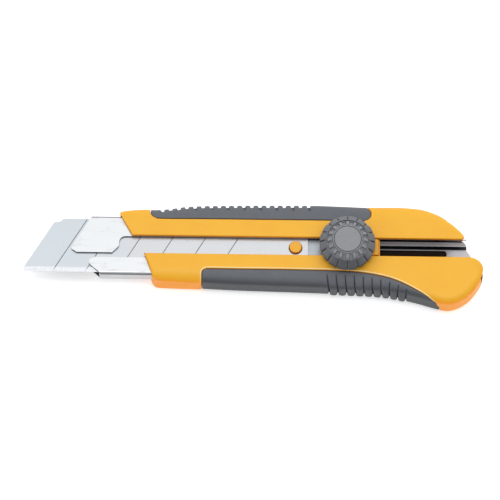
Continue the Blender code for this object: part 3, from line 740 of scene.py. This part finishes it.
class Section:
    """One cross-section of the handle's side, measured by arc length from inside the front face to the back."""

    def __init__(self, x, top):
        px, py, qx, qy, drop = side_row(x, top)
        near, far = side_row(x - 0.4, top), side_row(x + 0.4, top)
        d = Vector((far[0] - near[0], far[1] - near[1])).normalized()
        sign = 1 if top else -1
        inn = Vector((d.y, -d.x)) * sign
        r = min(BACK_ROUND, 0.2 + drop * 0.8)
        self.points, self.marks = [], []
        for k in range(10):
            self.add((qx, qy - sign * 4.0 * (1 - k / 10), H_FRONT), 90 + 4.0 * (1 - k / 10))
        for k in range(48, -1, -1):
            t = math.pi / 2 * k / 48
            c, s = math.cos(t), math.sin(t)
            self.add(
                (qx + (px - qx) * c, qy + (py - qy) * c, H_FRONT - drop * (1 - s)),
                math.degrees(t),
            )
        wall_top, wall_low = H_FRONT - drop, H_BACK + r
        for k in range(1, 17):
            z = wall_top + (wall_low - wall_top) * k / 16
            self.add((px, py, z), z - wall_top)
        for k in range(1, 17):
            t = math.pi / 2 * k / 16
            c, s = math.cos(t), math.sin(t)
            self.add(
                (px + inn.x * r * (1 - c), py + inn.y * r * (1 - c), H_BACK + r * (1 - s)),
                wall_low - wall_top - r * t,
            )
        for k in range(1, 8):
            self.add(
                (px + inn.x * (r + 0.5 * k), py + inn.y * (r + 0.5 * k), H_BACK),
                wall_low - wall_top - r * math.pi / 2 - 0.5 * k,
            )
        self.at = [0.0]
        for a, b in zip(self.points, self.points[1:]):
            self.at.append(self.at[-1] + (b - a).length)
        self.back_mark = wall_low - wall_top - r * math.radians(78)

    def add(self, point, mark):
        self.points.append(Vector(point))
        self.marks.append(mark)

    def where(self, mark):
        """Arc length at a mark: degrees of the shoulder above zero, millimetres down the wall below zero."""
        for i in range(len(self.marks) - 1):
            if self.marks[i] >= mark >= self.marks[i + 1]:
                gap = self.marks[i] - self.marks[i + 1]
                t = (self.marks[i] - mark) / gap if gap else 0
                return self.at[i] + (self.at[i + 1] - self.at[i]) * t
        return self.at[-1]

    def sample(self, s):
        s = clamp(s, 0.0, self.at[-1])
        lo, hi = 0, len(self.at) - 1
        while hi - lo > 1:
            mid = (lo + hi) // 2
            if self.at[mid] <= s:
                lo = mid
            else:
                hi = mid
        t = (s - self.at[lo]) / max(self.at[hi] - self.at[lo], 1e-9)
        return (
            self.points[lo].lerp(self.points[hi], t),
            self.marks[lo] + (self.marks[hi] - self.marks[lo]) * t,
        )


SECTIONS = {}


def section(x, top):
    key = (round(x, 3), top)
    if key not in SECTIONS:
        SECTIONS[key] = Section(x, top)
    return SECTIONS[key]


def surface(x, s, top):
    """Point, outward normal and mark of the handle's side at x and arc length s."""
    here = section(x, top)
    p, mark = here.sample(s)
    along = section(x + 0.25, top).sample(s)[0] - section(x - 0.25, top).sample(s)[0]
    down = here.sample(s + 0.08)[0] - here.sample(s - 0.08)[0]
    n = along.cross(down)
    n.normalize()
    if n.dot(p - Vector((p.x, 8.0 if top else -8.0, (H_FRONT + H_BACK) / 2))) < 0:
        n = -n
    return p, n, mark


# ------------------------------------------------------------------ grips
class Grip:
    """Soft strip wrapped round one long side: where its edges run, and how its surface stands."""

    def __init__(self, top, x0, x1, front, end0, end1):
        self.top, self.x0, self.x1 = top, x0, x1
        self.front, self.end0, self.end1 = front, end0, end1

    def limits(self, x):
        here = section(x, self.top)
        return here.where(self.front(x)), here.where(here.back_mark)

    def warp(self, x, s_rel):
        """Pulls the columns near an end in, which rounds the end's outline."""
        reach = 12.0
        if x < self.x0 + reach:
            share = clamp((self.x0 + reach - x) / reach)
            x += self.end0(s_rel) * share**2
        if x > self.x1 - reach:
            share = clamp((x - self.x1 + reach) / reach)
            x -= self.end1(s_rel) * share**2
        return x


def grip_mesh(grip, xs, rows, height):
    """Closed strip. rows are shares of the way from the front edge to the back edge."""
    outer, inner, sunk = [], [], []
    for x in xs:
        out_col, in_col, sunk_col = [], [], []
        s0, s1 = grip.limits(x)
        width = max(s1 - s0, 0.4)
        for f in rows:
            rel = width * f
            wx = grip.warp(x, rel)
            w0, w1 = grip.limits(wx)
            ww = max(w1 - w0, 0.4)
            s = w0 + ww * f
            p, n, mark = surface(wx, s, grip.top)
            edge = min(ww * f, ww * (1 - f), x - grip.x0, grip.x1 - x)
            level = height(wx, ww * f, mark, edge)
            out_col.append(p + n * level)
            in_col.append(p - n * GRIP_DEEP)
            sunk_col.append(clamp(-level - 0.12))
        outer.append(out_col)
        inner.append(in_col)
        sunk.append(sunk_col)
    bm = bmesh.new()
    # the groove attribute holds how deep each point is sunk; the rubber paint darkens by it as painted shade
    layer = bm.verts.layers.float.new("groove")
    top = [[bm.verts.new(p) for p in col] for col in outer]
    low = [[bm.verts.new(p) for p in col] for col in inner]
    for col, sunk_col in zip(top, sunk):
        for vert, value in zip(col, sunk_col):
            vert[layer] = value
    nx, nr = len(xs), len(rows)
    for grid in (top, low):
        for i in range(nx - 1):
            for j in range(nr - 1):
                bm.faces.new((grid[i][j], grid[i + 1][j], grid[i + 1][j + 1], grid[i][j + 1]))
    for i in range(nx - 1):
        for j in (0, nr - 1):
            bm.faces.new((top[i][j], top[i + 1][j], low[i + 1][j], low[i][j]))
    for j in range(nr - 1):
        for i in (0, nx - 1):
            bm.faces.new((top[i][j], top[i][j + 1], low[i][j + 1], low[i][j]))
    return bm


def seat_mesh(grip, xs):
    """The pocket for a grip: straight walls with a rounded lip where they meet the handle's skin."""
    flare = [(0.0, -SEAT_DEEP), (0.03, -LIP_R)]
    for a in (25, 50, 72):
        a = math.radians(a)
        flare.append((0.03 + LIP_R * (1 - math.cos(a)), -LIP_R + LIP_R * math.sin(a)))
    flare.append((flare[-1][0] + 0.5, flare[-1][1] + 0.16))
    reach = flare[-1][0]
    middle = spread(0.0, 1.0, 32)[1:-1]
    count = 2 * len(flare) + len(middle)

    def ring(x, pull, floor):
        s0, s1 = grip.limits(x)
        s0, s1 = s0 - SEAT_GAP, max(s1, s0 + 0.4) + SEAT_GAP
        low = [(s0 - out, d) for out, d in flare[::-1]]
        low += [(s0 + (s1 - s0) * f, -SEAT_DEEP) for f in middle]
        low += [(s1 + out, d) for out, d in flare]
        high = [(s, 1.1) for s in spread(s0 - reach - 0.1, s1 + reach + 0.1, count)]
        rows = []
        for places in (low, high):
            points = []
            for s, d in places:
                rel = clamp(s - s0 - SEAT_GAP, 0.0, s1 - s0 - 2 * SEAT_GAP)
                wx = grip.warp(x, rel)
                w0, w1 = grip.limits(wx)
                w0, w1 = w0 - SEAT_GAP, max(w1, w0 + 0.4) + SEAT_GAP
                if s < s0:
                    ss = w0 - (s0 - s)
                elif s > s1:
                    ss = w1 + (s - s1)
                else:
                    ss = w0 + (s - s0) * (w1 - w0) / (s1 - s0)
                p, n, _ = surface(wx + pull, ss, grip.top)
                points.append(p + n * max(d, floor))
            rows.append(points)
        return rows

    ends = [(0.0, -SEAT_DEEP), (0.05, -LIP_R)]
    for a in (30, 50, 72):
        a = math.radians(a)
        ends.append((0.05 + LIP_R * (1 - math.cos(a)), -LIP_R + LIP_R * math.sin(a)))
    ends.append((ends[-1][0] + 0.5, ends[-1][1] + 0.16))
    rings = [ring(grip.x0, -SEAT_GAP - out, floor) for out, floor in ends[::-1]]
    rings += [ring(x, 0.0, -SEAT_DEEP) for x in xs[1:-1]]
    rings += [ring(grip.x1, SEAT_GAP + out, floor) for out, floor in ends]

    bm = bmesh.new()
    low = [[bm.verts.new(p) for p in r[0]] for r in rings]
    high = [[bm.verts.new(p) for p in r[1]] for r in rings]
    for grid in (low, high):
        for a, b in zip(grid, grid[1:]):
            for k in range(count - 1):
                bm.faces.new((a[k], b[k], b[k + 1], a[k + 1]))
    for i in range(len(rings) - 1):
        for k in (0, count - 1):
            bm.faces.new((low[i][k], low[i + 1][k], high[i + 1][k], high[i][k]))
    for i in (0, len(rings) - 1):
        for k in range(count - 1):
            bm.faces.new((low[i][k], low[i][k + 1], high[i][k + 1], high[i][k]))
    return bm


def lip_mesh(grip, r, proud):
    """The moulding's raised lip, which follows the front edge of a grip and turns down its end."""
    path = []
    corner = grip.x0 + grip.end0(0.0)
    out = SEAT_GAP + LIP_R + 0.12
    s0, s1 = grip.limits(grip.x0)
    for k in range(9):
        rel = 9.0 * (1 - k / 8) ** 1.0 + 2.4 * (k / 8)
        path.append(surface(grip.x0 - out, s0 + rel, grip.top)[:2])
    for k in range(1, 7):
        a = math.radians(90 * k / 7)
        reach = 2.4 + out
        x = grip.x0 - out + reach * (1 - math.cos(a))
        w0 = grip.limits(x)[0]
        path.append(surface(x, w0 - out + reach * (1 - math.sin(a)), grip.top)[:2])
    for x in spread(corner + 0.4, grip.x1 + 0.3, 150):
        path.append(surface(x, grip.limits(x)[0] - out, grip.top)[:2])
    rings = []
    for i, (p, n) in enumerate(path):
        a, b = path[max(i - 1, 0)][0], path[min(i + 1, len(path) - 1)][0]
        along = (b - a).normalized()
        n = (n - along * n.dot(along)).normalized()
        across = along.cross(n)
        taper = smooth(min(i + 1, len(path) - i) / 10.0)
        rr = r * max(taper, 0.15)
        centre = p - n * (rr - proud * taper)
        rings.append(
            [
                centre + (n * math.cos(t) + across * math.sin(t)) * rr
                for t in (2 * math.pi * k / 12 for k in range(12))
            ]
        )
    return loft(rings)


def rounding(edge, r):
    """How far a surface falls away within r of its edge."""
    if edge >= r:
        return 0.0
    return r - math.sqrt(max(r * r - (r - edge) ** 2, 0.0))


TOP_CENTRES = [-41.0 + 3.62 * i for i in range(19)]
LOW_TOPS = [32.35 + 3.9 * i for i in range(10)]
LOW_LEAN = [1.35 if i < 6 else 1.35 * (9.3 - i) / 3.6 for i in range(10)]


def top_end0(s):
    r = 3.4
    return 0.9 * (r - math.sqrt(max(r * r - (r - min(s, r)) ** 2, 0.0))) if s < r else 0.0


def top_end1(s):
    r = 3.2
    near = r - math.sqrt(max(r * r - (r - s) ** 2, 0.0)) if s < r else 0.0
    return near + 1.7 * smooth((s - 4.0) / 4.5)


TOP = Grip(True, -46.2, 51.9, lambda x: 86.5, top_end0, top_end1)

LOW_EDGE = [
    (-30.0, 86.5),
    (60.5, 86.5),
    (64.0, 84.5),
    (68.6, 75.5),
    (73.4, 61.0),
    (76.0, 47.5),
    (78.1, 34.5),
    (79.4, 17.0),
    (80.4, -0.6),
    (81.6, -3.0),
    (83.0, -6.6),
]


def low_end0(s):
    r = 2.2
    return r - math.sqrt(max(r * r - (r - s) ** 2, 0.0)) if s < r else 0.0


LOW = Grip(False, -22.9, 82.6, lambda x: soft_ramp(x, LOW_EDGE, 1.3), low_end0, lambda s: 0.0)


def top_height(x, s, mark, edge):
    level = -0.12 - rounding(edge, 0.45)
    for k, centre in enumerate(TOP_CENTRES):
        if abs(x - centre) > 2.4:
            continue
        if mark > 0:
            long_tail = k % 2 == 0
            reach = (62.0 + 0.5 * k) if long_tail else 39.0
            start = 34.0 if long_tail else 29.0
            share = 1 - smooth((mark - start) / (reach - start))
            lean = 0.55 * clamp((mark - 20.0) / 35.0) if long_tail else 0.0
            half = 0.72 - (0.34 * clamp((mark - 24.0) / 26.0) if long_tail else 0.0)
        else:
            share, lean, half = 1.0, 0.0, 0.72
        share *= smooth((edge - 0.2) / 1.1)
        off = abs(x - centre - lean)
        level -= 0.95 * share * (1 - smooth((off - half + 0.22) / 0.5))
    return level


def low_height(x, s, mark, edge):
    level = -0.12 - rounding(edge, 0.5)
    down = smooth((s - 1.7) / 0.45)
    if LOW_TOPS[0] - 3 < x < LOW_TOPS[-1] + 3:
        travel = clamp((s - 2.0) / 9.0)
        lines = [a + b * travel for a, b in zip(LOW_TOPS, LOW_LEAN)]
        near = min(abs(x - c) for c in lines)
        deep = 0.55 + 0.45 * travel
        half = 0.28 + 0.22 * travel
        level -= deep * down * (1 - smooth((near - 0.05) / half))
        if lines[0] < x < lines[-1] and edge > 0:
            for a, b in zip(lines, lines[1:]):
                if a <= x <= b:
                    u = (x - a) / (b - a)
                    level += 0.62 * smooth((s - 5.0) / 5.0) * smooth(edge / 2.0) * math.sin(math.pi * u) ** 0.8
    return level


def handle_parts():
    shell = new_object("handle_moulding", loft(shell_rings()), YELLOW, sharp=0)
    xs = sorted(
        {TOP.x0, TOP.x1}
        | {TOP.x0 + d for d in (0.25, 0.6, 1.0, 1.6, 2.4, 3.4, 4.6, 6.0)}
        | {TOP.x1 - d for d in (0.25, 0.6, 1.0, 1.6, 2.4, 3.4, 4.6, 6.0)}
        | set(spread(TOP.x0 + 8.0, TOP.x1 - 8.0, 44))
    )
    cut(shell, seat_mesh(TOP, xs))
    xs = sorted(
        {LOW.x0, LOW.x1}
        | {LOW.x0 + d for d in (0.2, 0.5, 0.9, 1.5, 2.4, 3.6, 5.0)}
        | set(spread(LOW.x0 + 7.0, 58.0, 34))
        | set(spread(59.0, LOW.x1 - 0.4, 44))
    )
    cut(shell, seat_mesh(LOW, xs))
    cut(shell, box(-75, 115, -CAVITY_HALF, CAVITY_HALF, CAVITY_BACK, CAVITY_TOP))
    r = 0.45
    right = [(SLOT_HALF, 0.0)] + [
        (SLOT_HALF + r - r * math.cos(math.radians(a)), H_FRONT - r + r * math.sin(math.radians(a)))
        for a in (0, 15, 30, 45, 60, 75)
    ]
    right += [(right[-1][0] + 0.9, right[-1][1] + 0.25), (SLOT_HALF + 1.6, 6.0)]
    cut(shell, bar(right + [(-y, z) for y, z in right[::-1]], -76, 116))
    finish_shading(shell, 34, True)
    # the lip bead carries the lighter yellow as a painted highlight
    bead = new_object("belly_lip", lip_mesh(LOW, 0.34, 0.20), LIP_HIGHLIGHT, sharp=0)
    bead.data.shade_smooth()
    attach(bead, "handle")
    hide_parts("handle_shell")
    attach(shell, "handle")

    rows = [0.0, 0.008, 0.018, 0.032, 0.05, 0.07, 0.09, 0.11] + spread(0.13, 0.93, 34) + [0.95, 0.965, 0.98, 0.992, 1.0]
    edges = [0.0, 0.05, 0.12, 0.2, 0.3, 0.42, 0.56, 0.75]
    xs = [TOP.x0 + e for e in edges] + spread(TOP.x0 + 1.0, TOP.x1 - 1.0, 520) + [TOP.x1 - e for e in edges[::-1]]
    upper = new_object("spine_grip", grip_mesh(TOP, xs, rows, top_height), RUBBER, sharp=60)
    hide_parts("top_grip")
    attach(upper, "handle")

    xs = [LOW.x0 + e for e in edges] + spread(LOW.x0 + 1.0, LOW.x1 - 1.0, 560) + [LOW.x1 - e for e in edges[::-1]]
    lower = new_object("belly_grip", grip_mesh(LOW, xs, rows, low_height), RUBBER, sharp=60)
    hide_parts("bottom_grip")
    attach(lower, "handle")


# ------------------------------------------------------------------ channel
def channel_part():
    h, i = CH_HALF, CH_HALF - SHEET
    r, ri = 1.0, 0.35
    low, floor = CH_BACK, CH_BACK + SHEET

    def bead(side, base, lift):
        out = []
        for k in range(13):
            u = -1 + 2 * k / 12
            out.append(
                (side * (BEAD_Y + BEAD_HALF * u), base + BEAD_HIGH * lift * 0.5 * (1 + math.cos(math.pi * u)))
            )
        return out

    section_points = (
        [(FLAP_Y, CH_TOP)]
        + arc(h - r, CH_TOP - r, r, 90, 0, 7)
        + arc(h - r, low + r, r, 0, -90, 7)
        + bead(1, low, 0.85)[::-1]
        + bead(-1, low, 0.85)
        + arc(-h + r, low + r, r, 270, 180, 7)
        + arc(-h + r, CH_TOP - r, r, 180, 90, 7)
        + [(LOWER_LIP_Y, CH_TOP), (LOWER_LIP_Y, CH_TOP - SHEET)]
        + arc(-i + ri, CH_TOP - SHEET - ri, ri, 90, 180, 4)
        + arc(-i + ri, floor + ri, ri, 180, 270, 4)
        + bead(-1, floor, 1.0)[::-1]
        + bead(1, floor, 1.0)
        + arc(i - ri, floor + ri, ri, 270, 360, 4)
        + arc(i - ri, CH_TOP - SHEET - ri, ri, 0, 90, 4)
        + [(FLAP_Y, CH_TOP - SHEET)]
    )
    channel = new_object("blade_guide", bar(section_points, CH_NOSE_X, CH_REAR_X), CHANNEL, sharp=0)
    turn_out = [(-59.9 + 2.75 * (1 - math.cos(math.radians(a))), 1.4 + 2.75 * math.sin(math.radians(a))) for a in (0, 18, 36, 54, 72)]
    clipped = [(-64.4, -5.0), (-62.9, -3.5), (-62.5, -3.05), (-60.6, -1.2), (-60.15, -0.6), (-59.95, 0.2)]
    cut(
        channel,
        prism([(-57.0, UPPER_LIP_Y), (120, UPPER_LIP_Y), (120, -5.0)] + clipped + turn_out, -0.4, 2.0),
    )
    cut(
        channel,
        prism(
            [
                (-95, 20),
                (-72.3, 20),
                (-72.3, 13.6),
                (-72.6, 12.9),
                (-73.2, 11.9),
                (-80.7, -0.5),
                (-81.0, -1.2),
                (-81.05, -1.8),
                (-80.8, -2.3),
                (-79.3, -3.2),
                (-78.6, -3.8),
                (-78.0, -4.8),
                (-95, -4.8),
            ],
            -0.4,
            2.0,
        ),
    )
    cut(
        channel,
        prism(
            [
                (-95, -4.8),
                (-70.6, -4.8),
                (-70.6, -5.7),
                (-71.0, -6.05),
                (-72.6, -6.7),
                (-73.0, -7.2),
                (-73.15, -8.0),
                (-73.1, -8.7),
                (-72.6, -9.4),
                (-67.6, -13.6),
                (-67.2, -14.2),
                (-67.2, -20),
                (-95, -20),
            ],
            -10.0,
            2.0,
        ),
    )
    cut(channel, box(-95, -72.3, -6.0, 20.0, -10.0, -0.1))
    cut(channel, prism(rounded_rect(-38.0, 86.0, -1.6, 1.6, 1.59, 8), -9, -4))
    cut(
        channel,
        prism(
            [(83.5, 20), (83.5, 14.5), (88.2, 10.4), (92.0, 6.2), (93.6, 5.2), (94.5, 4.4), (94.8, 3.6), (94.8, 1.8), (96.1, 0.2), (96.8, -1.2), (96.8, -20), (120, -20), (120, 20)],
            -10,
            3,
        ),
    )
    finish_shading(channel, 24, False)
    bevel(channel, 0.11, 40, 2)
    finish_shading(channel, 0, True)
    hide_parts("blade_channel")
    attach(channel, "handle")


# ------------------------------------------------------------------ slider
def slider_parts():
    low = CH_BACK + SHEET + 0.3
    over = low + BEAD_HIGH
    inner, outer = BEAD_Y - BEAD_HALF - 0.2, BEAD_Y + BEAD_HALF + 0.2
    right = [(inner, low), (inner + 0.3, over), (outer - 0.3, over), (outer, low)]
    right += arc(12.3 - 0.5, low + 0.5, 0.5, -90, 0, 4) + arc(12.3 - 0.5, -0.5, 0.5, 0, 90, 4)
    carriage = new_object(
        "slider_body", bar(right + [(-y, z) for y, z in right[::-1]], 6.0, 56.0), YELLOW_INNER, sharp=0
    )
    cut(carriage, box(0, 33.3, -20, 20, -2.1, 3))
    cut(carriage, soft_block(NECK_X0, NECK_X1, -NECK_HALF, NECK_HALF, -1.2, 2.6, 0.9, 0.5), "UNION")
    cut(carriage, box(WHEEL_X - 4.6, WHEEL_X + 4.6, -3.4, 3.4, -0.8, 4.4), "UNION")
    cut(carriage, prism(circle(WHEEL_X, 0, 3.3, 48), -12, 12))
    cut(carriage, prism(circle(WHEEL_X, 0, 5.7, 48), -12, -1.4))
    cut(carriage, prism(circle(PIN_X, 0, PIN_R + 0.3, 48), -3.6, 2))
    finish_shading(carriage, 34, True)
    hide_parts("slider_carriage")
    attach(carriage, "slider")

    rim = []
    for k in range(7):
        a = math.radians(15 * k)
        rim.append((PIN_R - 0.55 + 0.55 * math.cos(a), 0.95 + 0.55 * math.sin(a)))
    pin = new_object(
        "blade_pin_head",
        turned([(PIN_R - 0.3, -3.3), (PIN_R, -3.0)] + rim + [(1.9, 1.5), (1.7, 1.44), (0.4, 1.42)], PIN_X, 64, bored=False),
        YELLOW_INNER,
        sharp=40,
    )
    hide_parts("blade_pin")
    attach(pin, "slider")


# ------------------------------------------------------------------ wheel
def wheel_parts():
    def turn_of(a, count):
        return (a / (2 * math.pi) * count) % 1.0

    def ribs(r, z, a):
        if not 6.85 < r < 9.2 or z < 10.0:
            return r, z
        u = abs(turn_of(a + math.pi / LOBES, LOBES) - 0.5) * 2
        rib = 1 - smooth((u - 0.30) / 0.28)
        ends = smooth((r - 6.85) / 0.35) * smooth((9.1 - r) / 0.35)
        return r, z + (0.45 * rib - 0.85 * (1 - rib)) * ends

    slope = [(9.15 - 2.3 * k / 14, 10.55 + 1.38 * k / 14) for k in range(15)]
    hub = new_object(
        "wheel_core",
        turned(
            [(9.6, 5.7), (10.3, 5.7), (10.3, 8.9)]
            + slope
            + [(6.72, 11.85), (6.68, 11.3), (5.2, 11.3), (5.2, 9.2), (5.9, 9.2), (5.9, 7.2), (9.6, 7.2)],
            WHEEL_X,
            LOBES * 20,
            field=ribs,
        ),
        HUB,
        sharp=38,
    )
    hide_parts("wheel_hub")
    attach(hub, "wheel")

    def knurl(r, z, a):
        if r < 9.7 or (r < 11.3 and z < 9.0):
            return r, z
        u = turn_of(a, LOBES)
        near = min(u, 1 - u) * 2 * math.pi / LOBES * r
        groove = 1 - smooth((near - 0.04) / 0.42)
        crown = math.sin(math.pi * u) ** 0.7
        share = smooth((r - 9.5) / 1.2)
        fall = (0.62 * groove + 0.16 * (1 - crown)) * share
        if z > 8.6:
            return r - 0.45 * fall, z - 0.75 * fall
        return r - fall, z

    wall = [(10.6, 5.6), (12.0, 5.6)] + [
        (12.0 + 0.35 * math.sin(math.radians(a)), 5.95 - 0.35 * math.cos(math.radians(a)))
        for a in (30, 60, 90)
    ]
    wall += [(WHEEL_R, z) for z in (6.4, 7.0, 7.6)]
    wall += [
        (WHEEL_R - 0.75 * (1 - math.cos(math.radians(a))), 8.0 + 0.75 * math.sin(math.radians(a)))
        for a in (0, 15, 30, 45)
    ]
    top = [(12.13 - 2.45 * k / 10, 8.56 + 2.32 * k / 10) for k in range(1, 11)]
    grip = new_object(
        "wheel_rim",
        turned(wall + top + [(9.5, 10.97), (9.35, 10.9), (9.3, 10.7), (10.6, 9.05)], WHEEL_X, LOBES * 24, field=knurl),
        WHEEL_RUBBER,
        sharp=38,
    )
    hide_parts("wheel_grip")
    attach(grip, "wheel")

    cap = new_object(
        "wheel_disc",
        turned(
            [
                (6.2, 11.6),
                (6.56, 11.8),
                (6.6, 12.2),
                (6.55, 12.42),
                (6.42, 12.52),
                (6.26, 12.5),
                (6.16, 12.38),
                (6.12, 11.85),
                (5.92, 11.85),
                (5.88, 12.42),
                (5.8, 12.56),
                (5.62, 12.64),
                (4.6, 12.68),
                (2.5, 12.7),
                (0.5, 12.7),
            ],
            WHEEL_X,
            96,
            bored=False,
        ),
        CAP,
        sharp=40,
    )
    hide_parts("wheel_cap")
    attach(cap, "wheel")


# ------------------------------------------------------------------ pieces kept from CAD
def kept_parts():
    finishes = {
        "blade": (BLADE, "blade_steel"),
        "slider_plate": (PLATE, "channel_steel"),
        "clamp_stud": (ZINC, "zinc_steel"),
        "stud_clip": (SPRING, "zinc_steel"),
        "lock_washer": (ZINC, "zinc_steel"),
        "click_spring": (SPRING, "zinc_steel"),
        "ratchet_ring": (ZINC, "zinc_steel"),
        "wheel_nut": (BRASS, "nut_brass"),
    }
    for name, (mat, slot) in finishes.items():
        obj = frame["nodes"][name]
        obj.data.materials.clear()
        obj.data.materials.append(mat)


# ------------------------------------------------------------------ stage
def stage():
    bm = bmesh.new()
    n, half = 12, 1.6
    grid = [
        [bm.verts.new((-half + 2 * half * i / n, -half + 2 * half * j / n, 0.0)) for j in range(n + 1)]
        for i in range(n + 1)
    ]
    for i in range(n):
        for j in range(n):
            bm.faces.new((grid[i][j], grid[i + 1][j], grid[i + 1][j + 1], grid[i][j + 1]))
    mesh = bpy.data.meshes.new("floor")
    bm.to_mesh(mesh)
    bm.free()
    floor = bpy.data.objects.new("floor", mesh)
    floor.location = (0, 0, CAD_BOX[0][2] - 0.00005)
    bpy.context.scene.collection.objects.link(floor)
    p = Paint("floor_white")
    tone = p.mix(p.span(p.noise(0.004, 2.0), 0.3, 0.7, 0.0, 1.0), (0.93, 0.93, 0.93), (0.91, 0.91, 0.915))
    p.set(Base_Color=tone, Roughness=0.8)
    p.bsdf.inputs["Emission Color"].default_value = (1.0, 1.0, 1.0, 1.0)
    p.bsdf.inputs["Emission Strength"].default_value = 0.45
    mesh.materials.append(p.mat)

    sky = bpy.data.worlds.new("studio")
    bpy.context.scene.world = sky
    sky.use_nodes = True
    tree = sky.node_tree
    background = tree.nodes["Background"]
    coord = tree.nodes.new("ShaderNodeTexCoord")
    split = tree.nodes.new("ShaderNodeSeparateXYZ")
    tree.links.new(coord.outputs["Generated"], split.inputs[0])
    lean = math.radians(25)
    parts = []
    for socket, factor in ((split.outputs[1], math.sin(lean)), (split.outputs[2], math.cos(lean))):
        times = tree.nodes.new("ShaderNodeMath")
        times.operation = "MULTIPLY"
        times.inputs[1].default_value = factor
        tree.links.new(socket, times.inputs[0])
        parts.append(times.outputs[0])
    total = tree.nodes.new("ShaderNodeMath")
    total.operation = "ADD"
    tree.links.new(parts[0], total.inputs[0])
    tree.links.new(parts[1], total.inputs[1])
    grade = tree.nodes.new("ShaderNodeMapRange")
    grade.interpolation_type = "SMOOTHSTEP"
    grade.inputs["From Min"].default_value = 0.40
    grade.inputs["From Max"].default_value = 0.92
    tree.links.new(total.outputs[0], grade.inputs[0])
    mixer = tree.nodes.new("ShaderNodeMix")
    mixer.data_type = "RGBA"
    mixer.inputs[6].default_value = (0.50, 0.505, 0.515, 1.0)
    mixer.inputs[7].default_value = (1.32, 1.33, 1.35, 1.0)
    tree.links.new(grade.outputs[0], mixer.inputs[0])
    tree.links.new(mixer.outputs[2], background.inputs["Color"])
    background.inputs["Strength"].default_value = 1.0

    def lamp(name, where, size, size_y, power, colour=(1, 1, 1)):
        data = bpy.data.lights.new(name, "AREA")
        data.shape = "RECTANGLE"
        data.size, data.size_y = size, size_y
        data.energy = power
        data.color = colour
        obj = bpy.data.objects.new(name, data)
        obj.location = where
        direction = Vector((0, 0, 0)) - Vector(where)
        obj.rotation_euler = direction.to_track_quat("-Z", "Y").to_euler()
        bpy.context.scene.collection.objects.link(obj)

    lamp("overhead_box", (0.0, 0.03, 1.5), 0.9, 0.30, 2.6)

    scene = bpy.context.scene
    scene.view_settings.view_transform = "Standard"
    scene.view_settings.look = "None"

    cam = bpy.data.cameras.new("camera")
    cam.type = "PERSP"
    cam.lens = 300
    cam.sensor_width = 36
    cam.clip_end = 20
    tilt, roll = math.radians(20.5), math.radians(0.75)
    right = Vector((1, 0, 0))
    up = Vector((0, math.cos(tilt), math.sin(tilt)))
    back = Vector((0, -math.sin(tilt), math.cos(tilt)))
    r2 = right * math.cos(roll) + up * math.sin(roll)
    u2 = up * math.cos(roll) - right * math.sin(roll)
    target = world((-1.73, -1.27, 0.0))
    distance = 500 / 2.25 * MM * 300 / 36
    place = target + back * distance
    obj = bpy.data.objects.new("camera", cam)
    obj.matrix_world = Matrix(
        (
            (r2.x, u2.x, back.x, place.x),
            (r2.y, u2.y, back.y, place.y),
            (r2.z, u2.z, back.z, place.z),
            (0, 0, 0, 1),
        )
    )
    scene.collection.objects.link(obj)
    scene.camera = obj


handle_parts()
channel_part()
slider_parts()
wheel_parts()
kept_parts()
stage()

bpy.context.view_layer.update()
